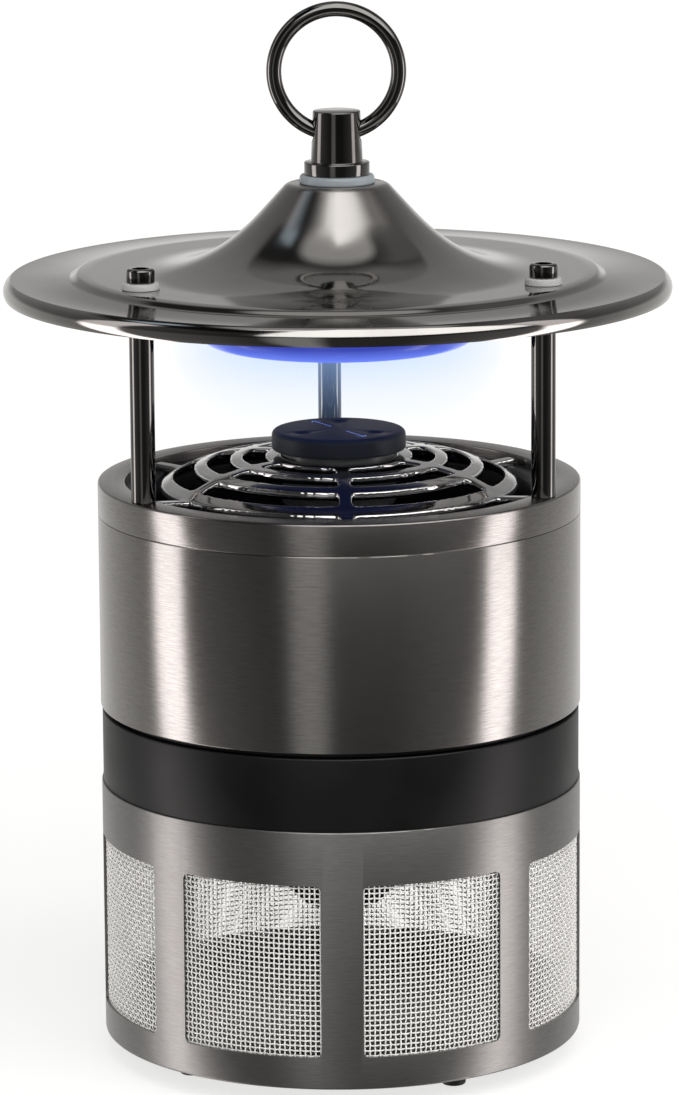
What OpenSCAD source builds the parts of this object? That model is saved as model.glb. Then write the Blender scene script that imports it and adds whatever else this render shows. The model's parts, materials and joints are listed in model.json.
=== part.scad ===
// Lantern-shaped ultraviolet insect trap: hood and lamp on three posts, intake fan, catch basket.
// Millimetres. +Z is up, the origin is on the ground under the middle, and the front faces -Y.

/* [Body] */
// Outside diameter of the body
body_d = 160; // [158:1:200]
// Wall of the brushed sleeve
sleeve_t = 1; // [0.8:0.1:1.6]
// Height of the brushed sleeve
sleeve_h = 64.5; // [60:0.5:100]
// Height of the ring that closes the sleeve
ring_h = 10.5; // [9:0.5:20]
// Width of that ring's top face
ring_w = 9; // [8.5:0.5:12]
// Height of the dark groove between sleeve and basket
reveal = 1.8; // [1:0.1:4]

/* [Basket] */
// Height of the feet under the basket
foot_h = 7; // [4:0.5:14]
// Diameter of a foot at the ground
foot_d = 8; // [7:0.5:12]
// Distance of the feet from the middle
foot_circle_r = 62; // [50:1:66]
// Height of the basket shell
basket_h = 86; // [70:1:130]
// Wall of the basket shell
shell_t = 1; // [0.8:0.1:1.6]
// Number of windows around the shell
window_count = 8; // [6:1:8]
// Width of a window, straight across
window_w = 48.4; // [30:0.5:50]
// Shell left under the windows
window_sill = 10.9; // [6:0.1:20]
// Shell left over the windows
window_head = 17.8; // [14:0.1:24]
// Corner radius of a window
window_corner = 2; // [1:0.5:6]
// Thickness of the woven mesh
mesh_t = 0.6; // [0.4:0.1:1]
// Height of the black collar over the shell
collar_h = 24.2; // [22:0.2:36]
// Diameter of the escape funnel's outlet
outlet_d = 22; // [16:1:40]
// Depth of the escape funnel's cone
funnel_h = 55; // [30:1:58]

/* [Hood] */
// Outside diameter of the brim
brim_d = 220; // [216:1:280]
// Open height from the top ring to the brim
post_h = 68.5; // [60:0.5:120]
// Diameter of a post
post_d = 8; // [7:0.5:9]
// Turn of the three posts from straight back
post_turn = 2.3; // [0:0.1:5]
// Sheet thickness of the hood
hood_t = 1.2; // [0.8:0.1:1.6]
// Height of the crown over the brim
crown_h = 28.7; // [28:0.1:50]
// Radius where the crown's cone turns into the flare
cone_r = 25.2; // [24:0.1:30]
// Fall of the cone, height for each unit of radius
cone_fall = 1.1; // [0.9:0.05:1.2]
// Radius of the brim's rolled lip
lip_r = 4.3; // [4:0.1:6]

/* [Lamp] */
// Diameter of the lamp's lens
lens_d = 94; // [88:1:100]
// Height of the lens under the lamp's rim
lens_drop = 6.6; // [4:0.1:12]
// Distance from the top ring up to the lamp's rim
lamp_gap = 52; // [44:0.5:54]

/* [Fan] */
// Diameter over the fan's blades
fan_d = 121; // [100:1:122]
// Free gap between blade tips and duct
tip_gap = 1.5; // [1:0.1:3]
// Wall of the fan duct
duct_t = 2; // [1.5:0.1:2.5]
// Number of fan blades
blade_count = 7; // [3:1:9]
// Diameter of the motor shaft
shaft_d = 3; // [2:0.1:4]
// Diameter of the motor
motor_d = 34; // [30:1:36]

/* [Lure] */
// Diameter of the lure cap
cap_d = 44.4; // [42:0.2:60]
// Height of the lure cap
cap_h = 6.4; // [5:0.1:12]
// Turn of the lure cap from locked to free
cap_turn = 35; // [20:1:50]

/* [Hanger] */
// Height of the knob
knob_h = 21; // [19:0.5:30]
// Diameter at the foot of the knob's taper
knob_d = 17; // [15:0.5:20]
// Wire diameter of the hanging ring
ring_wire_d = 5; // [4:0.1:5]
// Radius of the hanging ring's centre line
ring_loop_r = 20.4; // [19:0.1:30]

/* [Fits] */
// Gap between pieces that move past each other
move_gap = 0.6; // [0.4:0.1:0.8]
// Gap between fixed pieces that fit together
seat_gap = 0.1; // [0.05:0.05:0.2]
// Radial gap of the motor shaft in its bearings
bearing_gap = 0.05; // [0.02:0.01:0.08]

/* [Hidden] */
$fn = 96;
eps = 0.01;
cut = 1;

body_r = body_d / 2;
sleeve_in_r = body_r - sleeve_t;

// Levels, from the ground up
shell_z = foot_h;
shell_top_z = shell_z + basket_h;
collar_top_z = shell_top_z + collar_h;
sleeve_z = collar_top_z + reveal;
ring_z = sleeve_z + sleeve_h;
deck_z = ring_z + ring_h;
seat_z = deck_z + post_h;
brim_z = seat_z + hood_t;
crown_z = brim_z + crown_h;

// Basket
lip_w = 10;
pan_t = 1.2;
pan_z = shell_z + shell_t;
mesh_r = body_r - shell_t - seat_gap;
mesh_z = pan_z + pan_t + seat_gap;
mesh_top_z = shell_top_z - 8.5;
foot_top_r = 5.5;
foot_angles = [-54, 36, 126, 216];
foot_screw_r = 1.5;
collar_r = body_r - 0.5;
collar_t = 2.5;
skirt_h = 8;
spigot_r = body_r - 3.9;
spigot_t = 2.5;
spigot_h = 10.8;
key_w = 6;
key_h = 0.9;
key_count = 3;
ledge_drop = 13;
ledge_t = 2;
ledge_z = collar_top_z - ledge_drop;
ledge_in_r = body_r - 9;
funnel_t = 1.5;
funnel_r = ledge_in_r - seat_gap;
funnel_flange_r = spigot_r - spigot_t - 0.6;
funnel_screw_r = 1.2;
funnel_screw_ring = (ledge_in_r + funnel_flange_r) / 2;
outlet_z = ledge_z - funnel_h;

// Housing base
base_t = 3;
gasket_t = 1.6;
base_r = sleeve_in_r - seat_gap;
base_in_r = spigot_r + move_gap;
gasket_z = collar_top_z + spigot_h + 0.5;
base_z = gasket_z + gasket_t;
base_top_z = base_z + base_t;

// Fan and duct
duct_r = fan_d / 2 + tip_gap;
duct_out_r = duct_r + duct_t;
mouth_flare = 4.5;
mouth_h = 15;
mouth_r = duct_r + mouth_flare;
duct_top_z = deck_z - 3;
ring_in_r = body_r - ring_w;
duct_ledge_t = 2.5;
base_hole_r = duct_r - 6.2;
tie_ring = ring_in_r - 1.5;
tie_r = 1.5;
tie_tab_t = 3.5;
tie_head_r = 2.75;
tie_head_h = 1.5;

// Motor
bracket_t = 3;
bracket_z = base_top_z;
bracket_top_z = bracket_z + bracket_t;
bracket_turn = 80;
arm_count = 4;
arm_w = 6;
bracket_screw_r = 1.5;
bracket_screw_ring = duct_r - 3.1;
motor_r = motor_d / 2;
motor_wall = 2;
motor_h = 16;
motor_z = bracket_top_z;
motor_top_z = motor_z + motor_h;
magnet_t = 2.3;
rotor_r = motor_r - motor_wall - magnet_t - move_gap;
shaft_r = shaft_d / 2;
bearing_r = shaft_r + 2;
motor_screw_ring = motor_r - 5;
hub_r = motor_r + 4;
hub_h = 16;
hub_t = 2;
hub_z = motor_top_z + 3;
hub_top_z = hub_z + hub_h;
blade_chord = 26;
blade_pitch = 32;
blade_t = 1.8;
blade_z = hub_z + 7.5;
fan_nut_h = 4;

// Grille
grille_rise = 8.2;
grille_t = 3;
band_w = 4.4;
spoke_count = 6;
spoke_w = 4.4;
grille_edge_r = duct_r - 4.8;
bands = [duct_r - 16.2, duct_r - 28];
hub_in_r = 19;
hub_band_w = 5.5;
grille_end_r = mouth_r + 3;

// Lure
holder_r = hub_in_r - seat_gap;
holder_t = 1.6;
holder_h = 17.6;
holder_top_z = deck_z + grille_rise + 1.4;
holder_z = holder_top_z - holder_h;
cap_z = holder_top_z + 0.4;
cap_edge = 1.8;
plug_r = holder_r - holder_t - 0.4;
plug_t = 1.6;
plug_h = 5;
lug_w = 20;
lug_h = 1.6;
lug_drop = 2.2;
lug_r = holder_r - 0.5;
lug_slack = 0.4;
tablet_h = 8;

// Posts and hood
post_r = post_d / 2;
post_ring = body_r - 5;
post_angles = [90 + post_turn, 210 + post_turn, 330 + post_turn];
post_thread_r = 2.5;
post_thread_l = 8;
brim_screw_r = 2;
brim_screw_l = 10;
brim_head_r = 4.6;
brim_head_h = 4.6;
washer_r = 6.2;
washer_h = 2.2;
cable_bore_r = 1.6;
cable_exit_z = seat_z - 12.2;
brim_r = brim_d / 2;
flare_end_r = post_ring - washer_r - 0.1;
flare_pow = 2.48;
flare_h = cone_fall * (flare_end_r - cone_r) / flare_pow;
crown_r = cone_r - (crown_h - flare_h) / cone_fall;
shoulder = 1.3;
step_r = post_ring + washer_r + 4;
step_w = 3.3;
step_h = 1.75;
lip_start = 63;
lip_end = -30;
lip_z = brim_z - step_h - lip_r * sin(lip_start);

// Hanger
knob_washer_r = 12.45;
knob_washer_h = 2.8;
knob_z = crown_z + knob_washer_h;
knob_flange_r = 10.75;
knob_flange_h = 4.2;
knob_tip_d = knob_d - 1.4;
knob_top_z = knob_z + knob_h;
eye_r = ring_wire_d / 2 + 1.2;
eye_z = knob_top_z - 6.75;
loop_z = eye_z - 0.85 + ring_loop_r;
stud_r = 3;
stud_top_z = knob_z + 8.5;

// Lamp
rim_z = deck_z + lamp_gap;
lens_r = lens_d / 2;
lens_t = 2;
lens_edge = 7;
lamp_wall = 1.8;
lamp_rim_h = 6;
lamp_plate_z = rim_z + lamp_rim_h;
lamp_plate_t = 2.5;
lamp_r = lens_r + seat_gap + lamp_wall;
tower_r = 9;
led_board_r = lens_r - 7;
led_board_t = 1.6;
led_board_z = lamp_plate_z - led_board_t - seat_gap;
led_board_hole_r = 8;
led_w = 3.5;
led_h = 1.4;
led_rings = [[6, 0.45], [12, 0.8]];
led_screw_r = 1.2;
led_screw_ring = led_board_r * 0.62;
stud_nut_h = 5;
stud_nut_r = 5.77;
lamp_hole_ring = led_board_r + 3.6;

// Electronics
socket_turn = 60;
socket_z = sleeve_z + 31;
socket_r = 5.5;
socket_flange_r = 7.5;
socket_back_r = body_r - 10;
socket_out_r = body_r + 1.2;
plug_hole_r = 3.2;
socket_pin_r = 1.05;
board_w = 44;
board_h = 30;
board_t = 1.6;
board_y = body_r - 10;
board_z = base_top_z + 5;
board_screw_r = 1;
board_screw_x = board_w / 2 - 3;
board_screw_places = [for (x = [-1, 1], z = [0.14, 0.86]) [x * board_screw_x, 0, board_z + board_h * z]];
cable_r = 1;
part_y = board_y - 4;

// ---- Shared shapes ----

// Places its child at a radius, an angle and a height, turned to face outwards
module at(r, a, z = 0) {
    rotate([0, 0, a]) translate([r, 0, z]) children();
}

// A ring of rectangular section
module band(r_out, r_in, z0, z1) {
    rotate_extrude() translate([r_in, z0]) square([r_out - r_in, z1 - z0]);
}

// An upright cylinder between two heights
module rod(r, z0, z1) {
    translate([0, 0, z0]) cylinder(r = r, h = z1 - z0);
}

// A cylinder pointing outwards along X, between two distances
module spur(r, x0, x1) {
    translate([x0, 0, 0]) rotate([0, 90, 0]) cylinder(r = r, h = x1 - x0);
}

// A low round-headed screw: the head stands on z = 0 and the shank hangs below
module pan_screw(r, length) {
    difference() {
        union() {
            cylinder(r = r * 1.8, h = r * 1.1);
            translate([0, 0, -length]) cylinder(r = r, h = length + eps);
        }
        translate([0, 0, r * 0.6]) cylinder(r = r * 0.8, h = r, $fn = 6);
    }
}

function arc(cx, cz, r, a0, a1, n) =
    [for (i = [0:n]) let (a = a0 + (a1 - a0) * i / n) [cx + r * cos(a), cz + r * sin(a)]];

// Outline of a rectangle with round corners, centred on the origin
function round_rect(w, h, r) = concat(
    arc(w / 2 - r, h / 2 - r, r, 0, 90, 6),
    arc(-w / 2 + r, h / 2 - r, r, 90, 180, 6),
    arc(-w / 2 + r, -h / 2 + r, r, 180, 270, 6),
    arc(w / 2 - r, -h / 2 + r, r, 270, 360, 6));

function unit(v) = v / norm(v);

// A round cable along a list of points; side is a direction that the cable never points along
module cable(pts, r, side) {
    n = 8;
    last = len(pts) - 1;
    rings = [for (i = [0:last])
        let (t = unit(pts[min(i + 1, last)] - pts[max(i - 1, 0)]),
            u = unit(cross(side, t)), v = cross(t, u))
        for (k = [0:n - 1]) pts[i] + r * (cos(360 * k / n) * u + sin(360 * k / n) * v)];
    walls = [for (i = [0:last - 1]) for (k = [0:n - 1])
        let (j = (k + 1) % n)
        [i * n + k, (i + 1) * n + k, (i + 1) * n + j, i * n + j]];
    start = [for (k = [0:n - 1]) k];
    end = [for (k = [0:n - 1]) last * n + n - 1 - k];
    polyhedron(rings, concat(walls, [start], [end]));
}

// ---- Hanger ----

module hanging_ring() {
    color("#1c1c1e")
    translate([0, 0, loop_z]) rotate([90, 0, 0])
        rotate_extrude() translate([ring_loop_r, 0]) circle(d = ring_wire_d, $fn = 48);
}

module ring_knob() {
    taper_z = knob_z + knob_flange_h;
    color("#2b2a2a")
    difference() {
        rotate_extrude() polygon([
            [0, knob_z], [knob_flange_r - 0.4, knob_z], [knob_flange_r, knob_z + 0.4],
            [knob_flange_r, taper_z - 0.6], [knob_flange_r - 0.6, taper_z],
            [knob_d / 2, taper_z], [knob_tip_d / 2, knob_top_z - 0.5],
            [knob_tip_d / 2 - 0.5, knob_top_z], [0, knob_top_z]]);
        translate([0, 0, eye_z]) spur(eye_r, -knob_d, knob_d);
        rod(stud_r + seat_gap, knob_z - cut, stud_top_z + 0.5);
    }
}

module knob_washer() {
    color("#e9e9e6")
    band(knob_washer_r, stud_r + 0.3, crown_z, knob_z);
}

module centre_stud() {
    color("#8d8d8d")
    rod(stud_r, lamp_plate_z - stud_nut_h - 1, stud_top_z);
}

module stud_nut() {
    color("#8d8d8d")
    difference() {
        translate([0, 0, lamp_plate_z - stud_nut_h]) cylinder(r = stud_nut_r, h = stud_nut_h, $fn = 6);
        rod(stud_r + seat_gap, lamp_plate_z - stud_nut_h - cut, lamp_plate_z + cut);
    }
}

// ---- Hood ----

// Height of the hood's upper face over the brim, out to the step
function hood_rise(r) =
    r >= flare_end_r ? 0
    : r >= cone_r ? flare_h * pow((flare_end_r - r) / (flare_end_r - cone_r), flare_pow)
    : flare_h + cone_fall * (cone_r - r);

// How steeply the hood's upper face falls
function hood_fall(r) =
    r >= flare_end_r ? 0
    : r >= cone_r ? cone_fall * pow((flare_end_r - r) / (flare_end_r - cone_r), flare_pow - 1)
    : cone_fall;

// Height of the hood's under face over the brim
function hood_under(r) =
    min(crown_h - hood_t, hood_rise(r) - hood_t * sqrt(1 + hood_fall(r) * hood_fall(r)));

module hood() {
    flare_n = 18;
    hole_r = stud_r + 0.3;
    crown_edge = [
        [crown_r - shoulder, crown_h], [crown_r, crown_h - 0.38 * shoulder],
        [crown_r + 0.7 * shoulder, crown_h - 0.77 * shoulder * cone_fall]];
    flare_rs = [for (i = [0:flare_n]) cone_r + (flare_end_r - cone_r) * i / flare_n];
    step_end = step_r + step_w;
    upper = concat(
        [[hole_r, crown_h]], crown_edge,
        [for (r = flare_rs) [r, hood_rise(r)]],
        [[step_r, 0], [step_r + step_w / 4, -step_h / 8], [step_end - step_w / 4, -step_h * 7 / 8],
            [step_end, -step_h]]);
    lip = arc(brim_r - lip_r, lip_z - brim_z, lip_r, lip_start, lip_end, 14);
    lip_in_r = lip_r - hood_t;
    lip_in_start = asin((lip_r * sin(lip_start) - hood_t) / lip_in_r);
    lip_in = arc(brim_r - lip_r, lip_z - brim_z, lip_in_r, lip_end, lip_in_start, 12);
    under_rs = concat([for (i = [flare_n:-1:0]) flare_rs[i]], [cone_r - 4, crown_r + 0.2, crown_r - 0.9]);
    under = concat(
        [[step_end, -step_h - hood_t], [step_end - step_w / 4, -step_h * 7 / 8 - hood_t],
            [step_r + step_w / 4, -step_h / 8 - hood_t], [step_r, -hood_t]],
        [for (r = under_rs) [r, hood_under(r)]],
        [[hole_r, crown_h - hood_t]]);
    color("#56534f")
    difference() {
        translate([0, 0, brim_z]) rotate_extrude($fn = 144) polygon(concat(upper, lip, lip_in, under));
        for (a = post_angles) at(post_ring, a) rod(brim_screw_r + 0.2, seat_z - cut, brim_z + cut);
    }
}

module brim_screws() {
    head_z = brim_z + washer_h;
    color("#1d1c1c")
    for (a = post_angles) at(post_ring, a) difference() {
        union() {
            rod(brim_head_r, head_z, head_z + brim_head_h);
            rod(brim_screw_r, seat_z - brim_screw_l + 1, head_z + eps);
        }
        translate([0, 0, head_z + brim_head_h / 2]) cylinder(r = 2.6, h = brim_head_h, $fn = 6);
    }
}

module brim_washers() {
    color("#ecebe7")
    for (a = post_angles) at(post_ring, a) rotate_extrude() polygon([
        [brim_screw_r + 0.2, brim_z], [washer_r, brim_z], [washer_r - 0.4, brim_z + washer_h],
        [brim_screw_r + 0.2, brim_z + washer_h]]);
}

// ---- Posts ----

module post(a) {
    color("#232222")
    at(post_ring, a) difference() {
        union() {
            rod(post_r, deck_z, seat_z);
            rod(post_thread_r, deck_z - post_thread_l, deck_z + eps);
        }
        rod(brim_screw_r + seat_gap, seat_z - brim_screw_l, seat_z + cut);
    }
}

// The back post is hollow: the lamp cable enters at its foot and leaves near its top
module post_back() {
    color("#232222")
    difference() {
        post(post_angles[0]);
        at(post_ring, post_angles[0]) {
            rod(cable_bore_r, deck_z - post_thread_l - cut, cable_exit_z);
            translate([0, 0, cable_exit_z]) spur(cable_bore_r + 0.2, -post_d, 0);
        }
    }
}

// ---- Lamp ----

module lamp_base() {
    tower_top_z = crown_z - hood_t - seat_gap;
    color("#2a2b2d")
    difference() {
        union() {
            band(lamp_r, stud_r + 0.3, lamp_plate_z, lamp_plate_z + lamp_plate_t);
            band(lamp_r, lens_r + seat_gap, rim_z, lamp_plate_z + eps);
            band(tower_r, stud_r + 0.3, lamp_plate_z + eps, tower_top_z);
        }
        for (k = [0:2]) at(led_screw_ring, 30 + 120 * k)
            rod(led_screw_r + seat_gap, lamp_plate_z - cut, lamp_plate_z + lamp_plate_t + cut);
        at(lamp_hole_ring, post_angles[0])
            rod(cable_r + 0.5, lamp_plate_z - cut, lamp_plate_z + lamp_plate_t + cut);
    }
}

module led_board() {
    color("#e8e8e0")
    difference() {
        band(led_board_r, led_board_hole_r, led_board_z, led_board_z + led_board_t);
        for (k = [0:2]) at(led_screw_ring, 30 + 120 * k)
            rod(led_screw_r + seat_gap, led_board_z - cut, led_board_z + led_board_t + cut);
    }
}

module uv_leds() {
    color("#7a6cff")
    for (ring = led_rings) for (k = [0:ring[0] - 1])
        at(led_board_r * ring[1], 360 * k / ring[0], led_board_z - led_h)
            translate([-led_w / 2, -led_w / 2, 0]) cube([led_w, led_w, led_h]);
}

module led_screws() {
    color("#8d8d8d")
    for (k = [0:2]) at(led_screw_ring, 30 + 120 * k, led_board_z)
        mirror([0, 0, 1]) pan_screw(led_screw_r, led_board_t + lamp_plate_t);
}

module lamp_lens() {
    lens_top_z = lamp_plate_z - seat_gap;
    edge_n = 8;
    outer = [for (i = [0:edge_n]) let (a = 90 * i / edge_n)
        [lens_r - lens_edge * (1 - cos(a)), rim_z - lens_drop * sin(a)]];
    inner = [for (i = [edge_n:-1:0]) let (a = 90 * i / edge_n)
        [lens_r - lens_t - lens_edge * (1 - cos(a)) * 0.9, rim_z - (lens_drop - lens_t) * sin(a)]];
    color("#5a6cf0")
    rotate_extrude() polygon(concat(
        [[lens_r, lens_top_z]], outer, [[0, rim_z - lens_drop]],
        [[0, rim_z - lens_drop + lens_t]], inner, [[lens_r - lens_t, lens_top_z]]));
}

module lamp_cable() {
    a = post_angles[0];
    p = [post_ring * cos(a), post_ring * sin(a), 0];
    away = [cos(a), sin(a), 0];
    start_z = board_z + board_h - 1.9;
    under_z = lamp_plate_z + lamp_plate_t + cable_r + 0.4;
    color("#111111")
    cable([
        [-13, part_y + 2, start_z], [-13, part_y + 2, start_z + 4],
        [-9, p.y - 2.5, ring_z - 6], p + [-1, -0.4, ring_z - 1.5], p + [0, 0, ring_z + 1],
        p + [0, 0, deck_z - 2], p + [0, 0, cable_exit_z - 4], p + [0, 0, cable_exit_z - 2]
            - 0.2 * away, p + [0, 0, cable_exit_z - 0.4] - 1.2 * away,
        p + [0, 0, cable_exit_z + 0.2] - 3 * away, p + [0, 0, cable_exit_z + 0.6] - 5.5 * away,
        (lamp_r + 6) * away + [0, 0, under_z - 0.6], (lamp_r + 1) * away + [0, 0, under_z],
        (lamp_hole_ring + 1.5) * away + [0, 0, under_z],
        (lamp_hole_ring + 0.2) * away + [0, 0, under_z - 1],
        lamp_hole_ring * away + [0, 0, lamp_plate_z + 1],
        lamp_hole_ring * away + [0, 0, lamp_plate_z - 0.3]], cable_r, [1, 0, 0.001]);
}

// ---- Top ring, sleeve and tie rods ----

module top_ring() {
    register_h = 2.5;
    tab_z = duct_top_z - duct_ledge_t - tie_tab_t;
    color("#8a8680")
    difference() {
        union() {
            rotate_extrude($fn = 144) polygon([
                [ring_in_r + 0.5, deck_z], [ring_in_r, deck_z - 0.5], [ring_in_r, ring_z],
                [body_r, ring_z], [body_r, deck_z - 0.8], [body_r - 0.8, deck_z]]);
            band(base_r, base_r - 2.5, ring_z - register_h, ring_z + eps);
            for (k = [0:2]) at(tie_ring, post_angles[k] + 180)
                translate([-2.2, -5, tab_z]) cube([2.2 + ring_in_r - tie_ring + 1, 10, tie_tab_t]);
        }
        for (a = post_angles) at(post_ring, a)
            rod(post_thread_r + seat_gap, deck_z - post_thread_l - 0.5, deck_z + cut);
        at(post_ring, post_angles[0]) rod(cable_r + 1, ring_z - cut, deck_z);
        for (k = [0:2]) at(tie_ring, post_angles[k] + 180)
            rod(tie_r + seat_gap, tab_z - cut, tab_z + tie_tab_t + eps);
    }
}

module tie_rods() {
    color("#8d8d8d")
    for (k = [0:2]) at(tie_ring, post_angles[k] + 180) {
        rod(tie_head_r, base_z - tie_head_h, base_z - eps);
        rod(tie_r, base_z - 2 * eps, duct_top_z - duct_ledge_t - 0.3);
    }
}

module body_sleeve() {
    color("#6f6b67")
    difference() {
        rotate_extrude($fn = 144) translate([sleeve_in_r, sleeve_z]) square([sleeve_t, sleeve_h]);
        at(0, socket_turn, socket_z) spur(socket_r + 0.2, body_r / 2, body_r + 5);
    }
}

// ---- Grille and lure ----

// Height of the grille's domed top, out to its edge band
function dome(r) = deck_z + grille_rise * (1 - pow(r / grille_edge_r, 4));

module intake_grille() {
    rs = [for (i = [0:8]) hub_in_r + 1 + (grille_edge_r - hub_in_r) * i / 8];
    foot_z = duct_top_z;
    color("#9a9a9a")
    difference() {
        union() {
            for (r = concat([grille_edge_r], bands))
                band(r + band_w / 2, r - band_w / 2, dome(r) - grille_t, dome(r));
            band(hub_in_r + hub_band_w, hub_in_r, dome(hub_in_r) - grille_t, dome(hub_in_r));
            for (k = [0:spoke_count - 1]) rotate([90, 0, post_angles[2] + 360 * k / spoke_count])
                translate([0, 0, -spoke_w / 2]) linear_extrude(spoke_w) polygon(concat(
                    [for (r = rs) [r, dome(r)]],
                    [[grille_end_r, foot_z + 2.4], [grille_end_r, foot_z], [mouth_r - 2.5, foot_z]],
                    [for (i = [8:-1:0]) [rs[i], dome(rs[i]) - grille_t]]));
        }
        rod(hub_in_r, holder_z, deck_z + grille_rise + cut);
    }
}

module lure_holder() {
    in_r = holder_r - holder_t;
    slot_z = cap_z - lug_drop - lug_h - lug_slack;
    slot_h = lug_h + 2 * lug_slack;
    slot_d = holder_t + 2;
    flange_z = dome(hub_in_r) - grille_t - seat_gap;
    gate_a = lug_w + 3;
    color("#77797b")
    difference() {
        rotate_extrude() polygon([
            [0, holder_z], [holder_r, holder_z], [holder_r, flange_z - 2.5],
            [holder_r + 2, flange_z - 2], [holder_r + 2, flange_z], [holder_r, flange_z],
            [holder_r, holder_top_z], [in_r, holder_top_z], [in_r, holder_z + 2], [0, holder_z + 2]]);
        for (k = [0:1]) {
            rotate([0, 0, 180 * k - gate_a / 2])
                rotate_extrude(angle = gate_a / 2 + cap_turn)
                    translate([in_r - 1, slot_z]) square([slot_d, slot_h]);
            rotate([0, 0, 180 * k + cap_turn - gate_a / 2])
                rotate_extrude(angle = gate_a)
                    translate([in_r - 1, slot_z]) square([slot_d, 3 * slot_h]);
        }
    }
}

module lure_tablet() {
    color("#d8d2c4")
    rod(holder_r - holder_t - 1, holder_z + 2, holder_z + 2 + tablet_h);
}

module lure_cap() {
    cap_r = cap_d / 2;
    cap_top_z = cap_z + cap_h;
    lug_z = cap_z - lug_drop - lug_h;
    dimple_r = 6;
    color("#2c3138")
    difference() {
        union() {
            rotate_extrude() polygon(concat(
                [[0, cap_z], [cap_r - 0.8, cap_z], [cap_r, cap_z + 0.8]],
                arc(cap_r - cap_edge, cap_top_z - cap_edge, cap_edge, 0, 90, 6),
                [[0, cap_top_z]]));
            band(plug_r, plug_r - plug_t, cap_z - plug_h, cap_z + eps);
            for (k = [0:1]) rotate([0, 0, 180 * k - lug_w / 2]) rotate_extrude(angle = lug_w)
                translate([plug_r - plug_t / 2, lug_z]) square([lug_r - plug_r + plug_t / 2, lug_h]);
        }
        for (k = [0:2]) at(cap_r * 0.62, 90 + 120 * k, cap_top_z + dimple_r - 0.8) sphere(r = dimple_r);
        for (k = [0:1]) rotate([0, 0, 30 + 180 * k])
            translate([-0.4, -cap_r * 0.8, cap_top_z - 0.4]) cube([0.8, cap_r * 0.45, cut]);
    }
}

// ---- Fan and motor ----

module fan_duct() {
    n = 8;
    bell = [for (i = [0:n]) let (a = 90 * i / n)
        [duct_r + mouth_flare * (1 - cos(a)), duct_top_z - mouth_h + mouth_h * sin(a)]];
    ledge_under_z = duct_top_z - duct_ledge_t;
    neck = [for (i = [n - 3:-1:0]) bell[i] + [duct_t, 0]];
    color("#161616")
    difference() {
        rotate_extrude() polygon(concat(
            [[duct_r, base_top_z]], bell,
            [[ring_in_r - seat_gap, duct_top_z], [ring_in_r - seat_gap, ledge_under_z],
                [mouth_r, ledge_under_z]],
            neck,
            [[duct_out_r, base_top_z + 3], [duct_out_r + 3, base_top_z + 3], [duct_out_r + 3, base_top_z]]));
        at(0, bracket_turn, bracket_top_z + 1.6) spur(cable_r + 0.5, duct_r - 2, duct_out_r + 2);
    }
}

module motor_bracket() {
    color("#1e1e1f")
    difference() {
        union() {
            band(duct_r - 0.3, base_hole_r + 0.3, bracket_z, bracket_top_z);
            for (k = [0:arm_count - 1]) rotate([0, 0, bracket_turn + 360 * k / arm_count])
                translate([motor_r - 1, -arm_w / 2, bracket_z])
                    cube([base_hole_r - motor_r + 2, arm_w, bracket_t]);
            rod(motor_r + 1, bracket_z, bracket_top_z);
        }
        rod(bearing_r + 1, bracket_z - cut, bracket_top_z + cut);
        for (k = [0:1]) at(motor_screw_ring, bracket_turn + 45 + 180 * k)
            rod(bracket_screw_r + seat_gap, bracket_z - cut, bracket_top_z + cut);
        for (k = [0:3]) at(bracket_screw_ring, bracket_turn + 45 + 90 * k)
            rod(bracket_screw_r + seat_gap, bracket_z - cut, bracket_top_z + cut);
    }
}

module bracket_screws() {
    color("#8d8d8d")
    for (k = [0:3]) at(bracket_screw_ring, bracket_turn + 45 + 90 * k, bracket_top_z)
        pan_screw(bracket_screw_r, bracket_t + base_t - 0.5);
}

module motor_can() {
    color("#a8a8a6")
    difference() {
        rod(motor_r, motor_z, motor_top_z);
        rod(motor_r - motor_wall, motor_z + motor_wall, motor_top_z - motor_wall);
        rod(bearing_r + seat_gap, motor_z - cut, motor_top_z + cut);
        for (k = [0:1]) at(motor_screw_ring, bracket_turn + 45 + 180 * k)
            rod(bracket_screw_r + seat_gap, motor_z - cut, motor_z + motor_wall + eps);
    }
}

module motor_magnets() {
    color("#3a3a3a")
    for (k = [0:1]) rotate([0, 0, 180 * k - 60]) rotate_extrude(angle = 120)
        translate([motor_r - motor_wall - magnet_t, motor_z + motor_wall + 1])
            square([magnet_t - seat_gap, motor_h - 2 * motor_wall - 2]);
}

module motor_bearings() {
    color("#b08d57")
    for (z = [motor_z, motor_top_z - motor_wall])
        band(bearing_r, shaft_r + bearing_gap, z, z + motor_wall);
}

module motor_screws() {
    color("#8d8d8d")
    for (k = [0:1]) at(motor_screw_ring, bracket_turn + 45 + 180 * k, bracket_z)
        mirror([0, 0, 1]) pan_screw(bracket_screw_r, bracket_t + motor_wall);
}

module motor_shaft() {
    color("#b5b5b5")
    rod(shaft_r, motor_z - 1.5, hub_top_z + fan_nut_h - 1);
}

module motor_rotor() {
    color("#9c6a3a")
    band(rotor_r, shaft_r, motor_z + motor_wall + 1.5, motor_top_z - motor_wall - 1.5);
}

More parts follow.
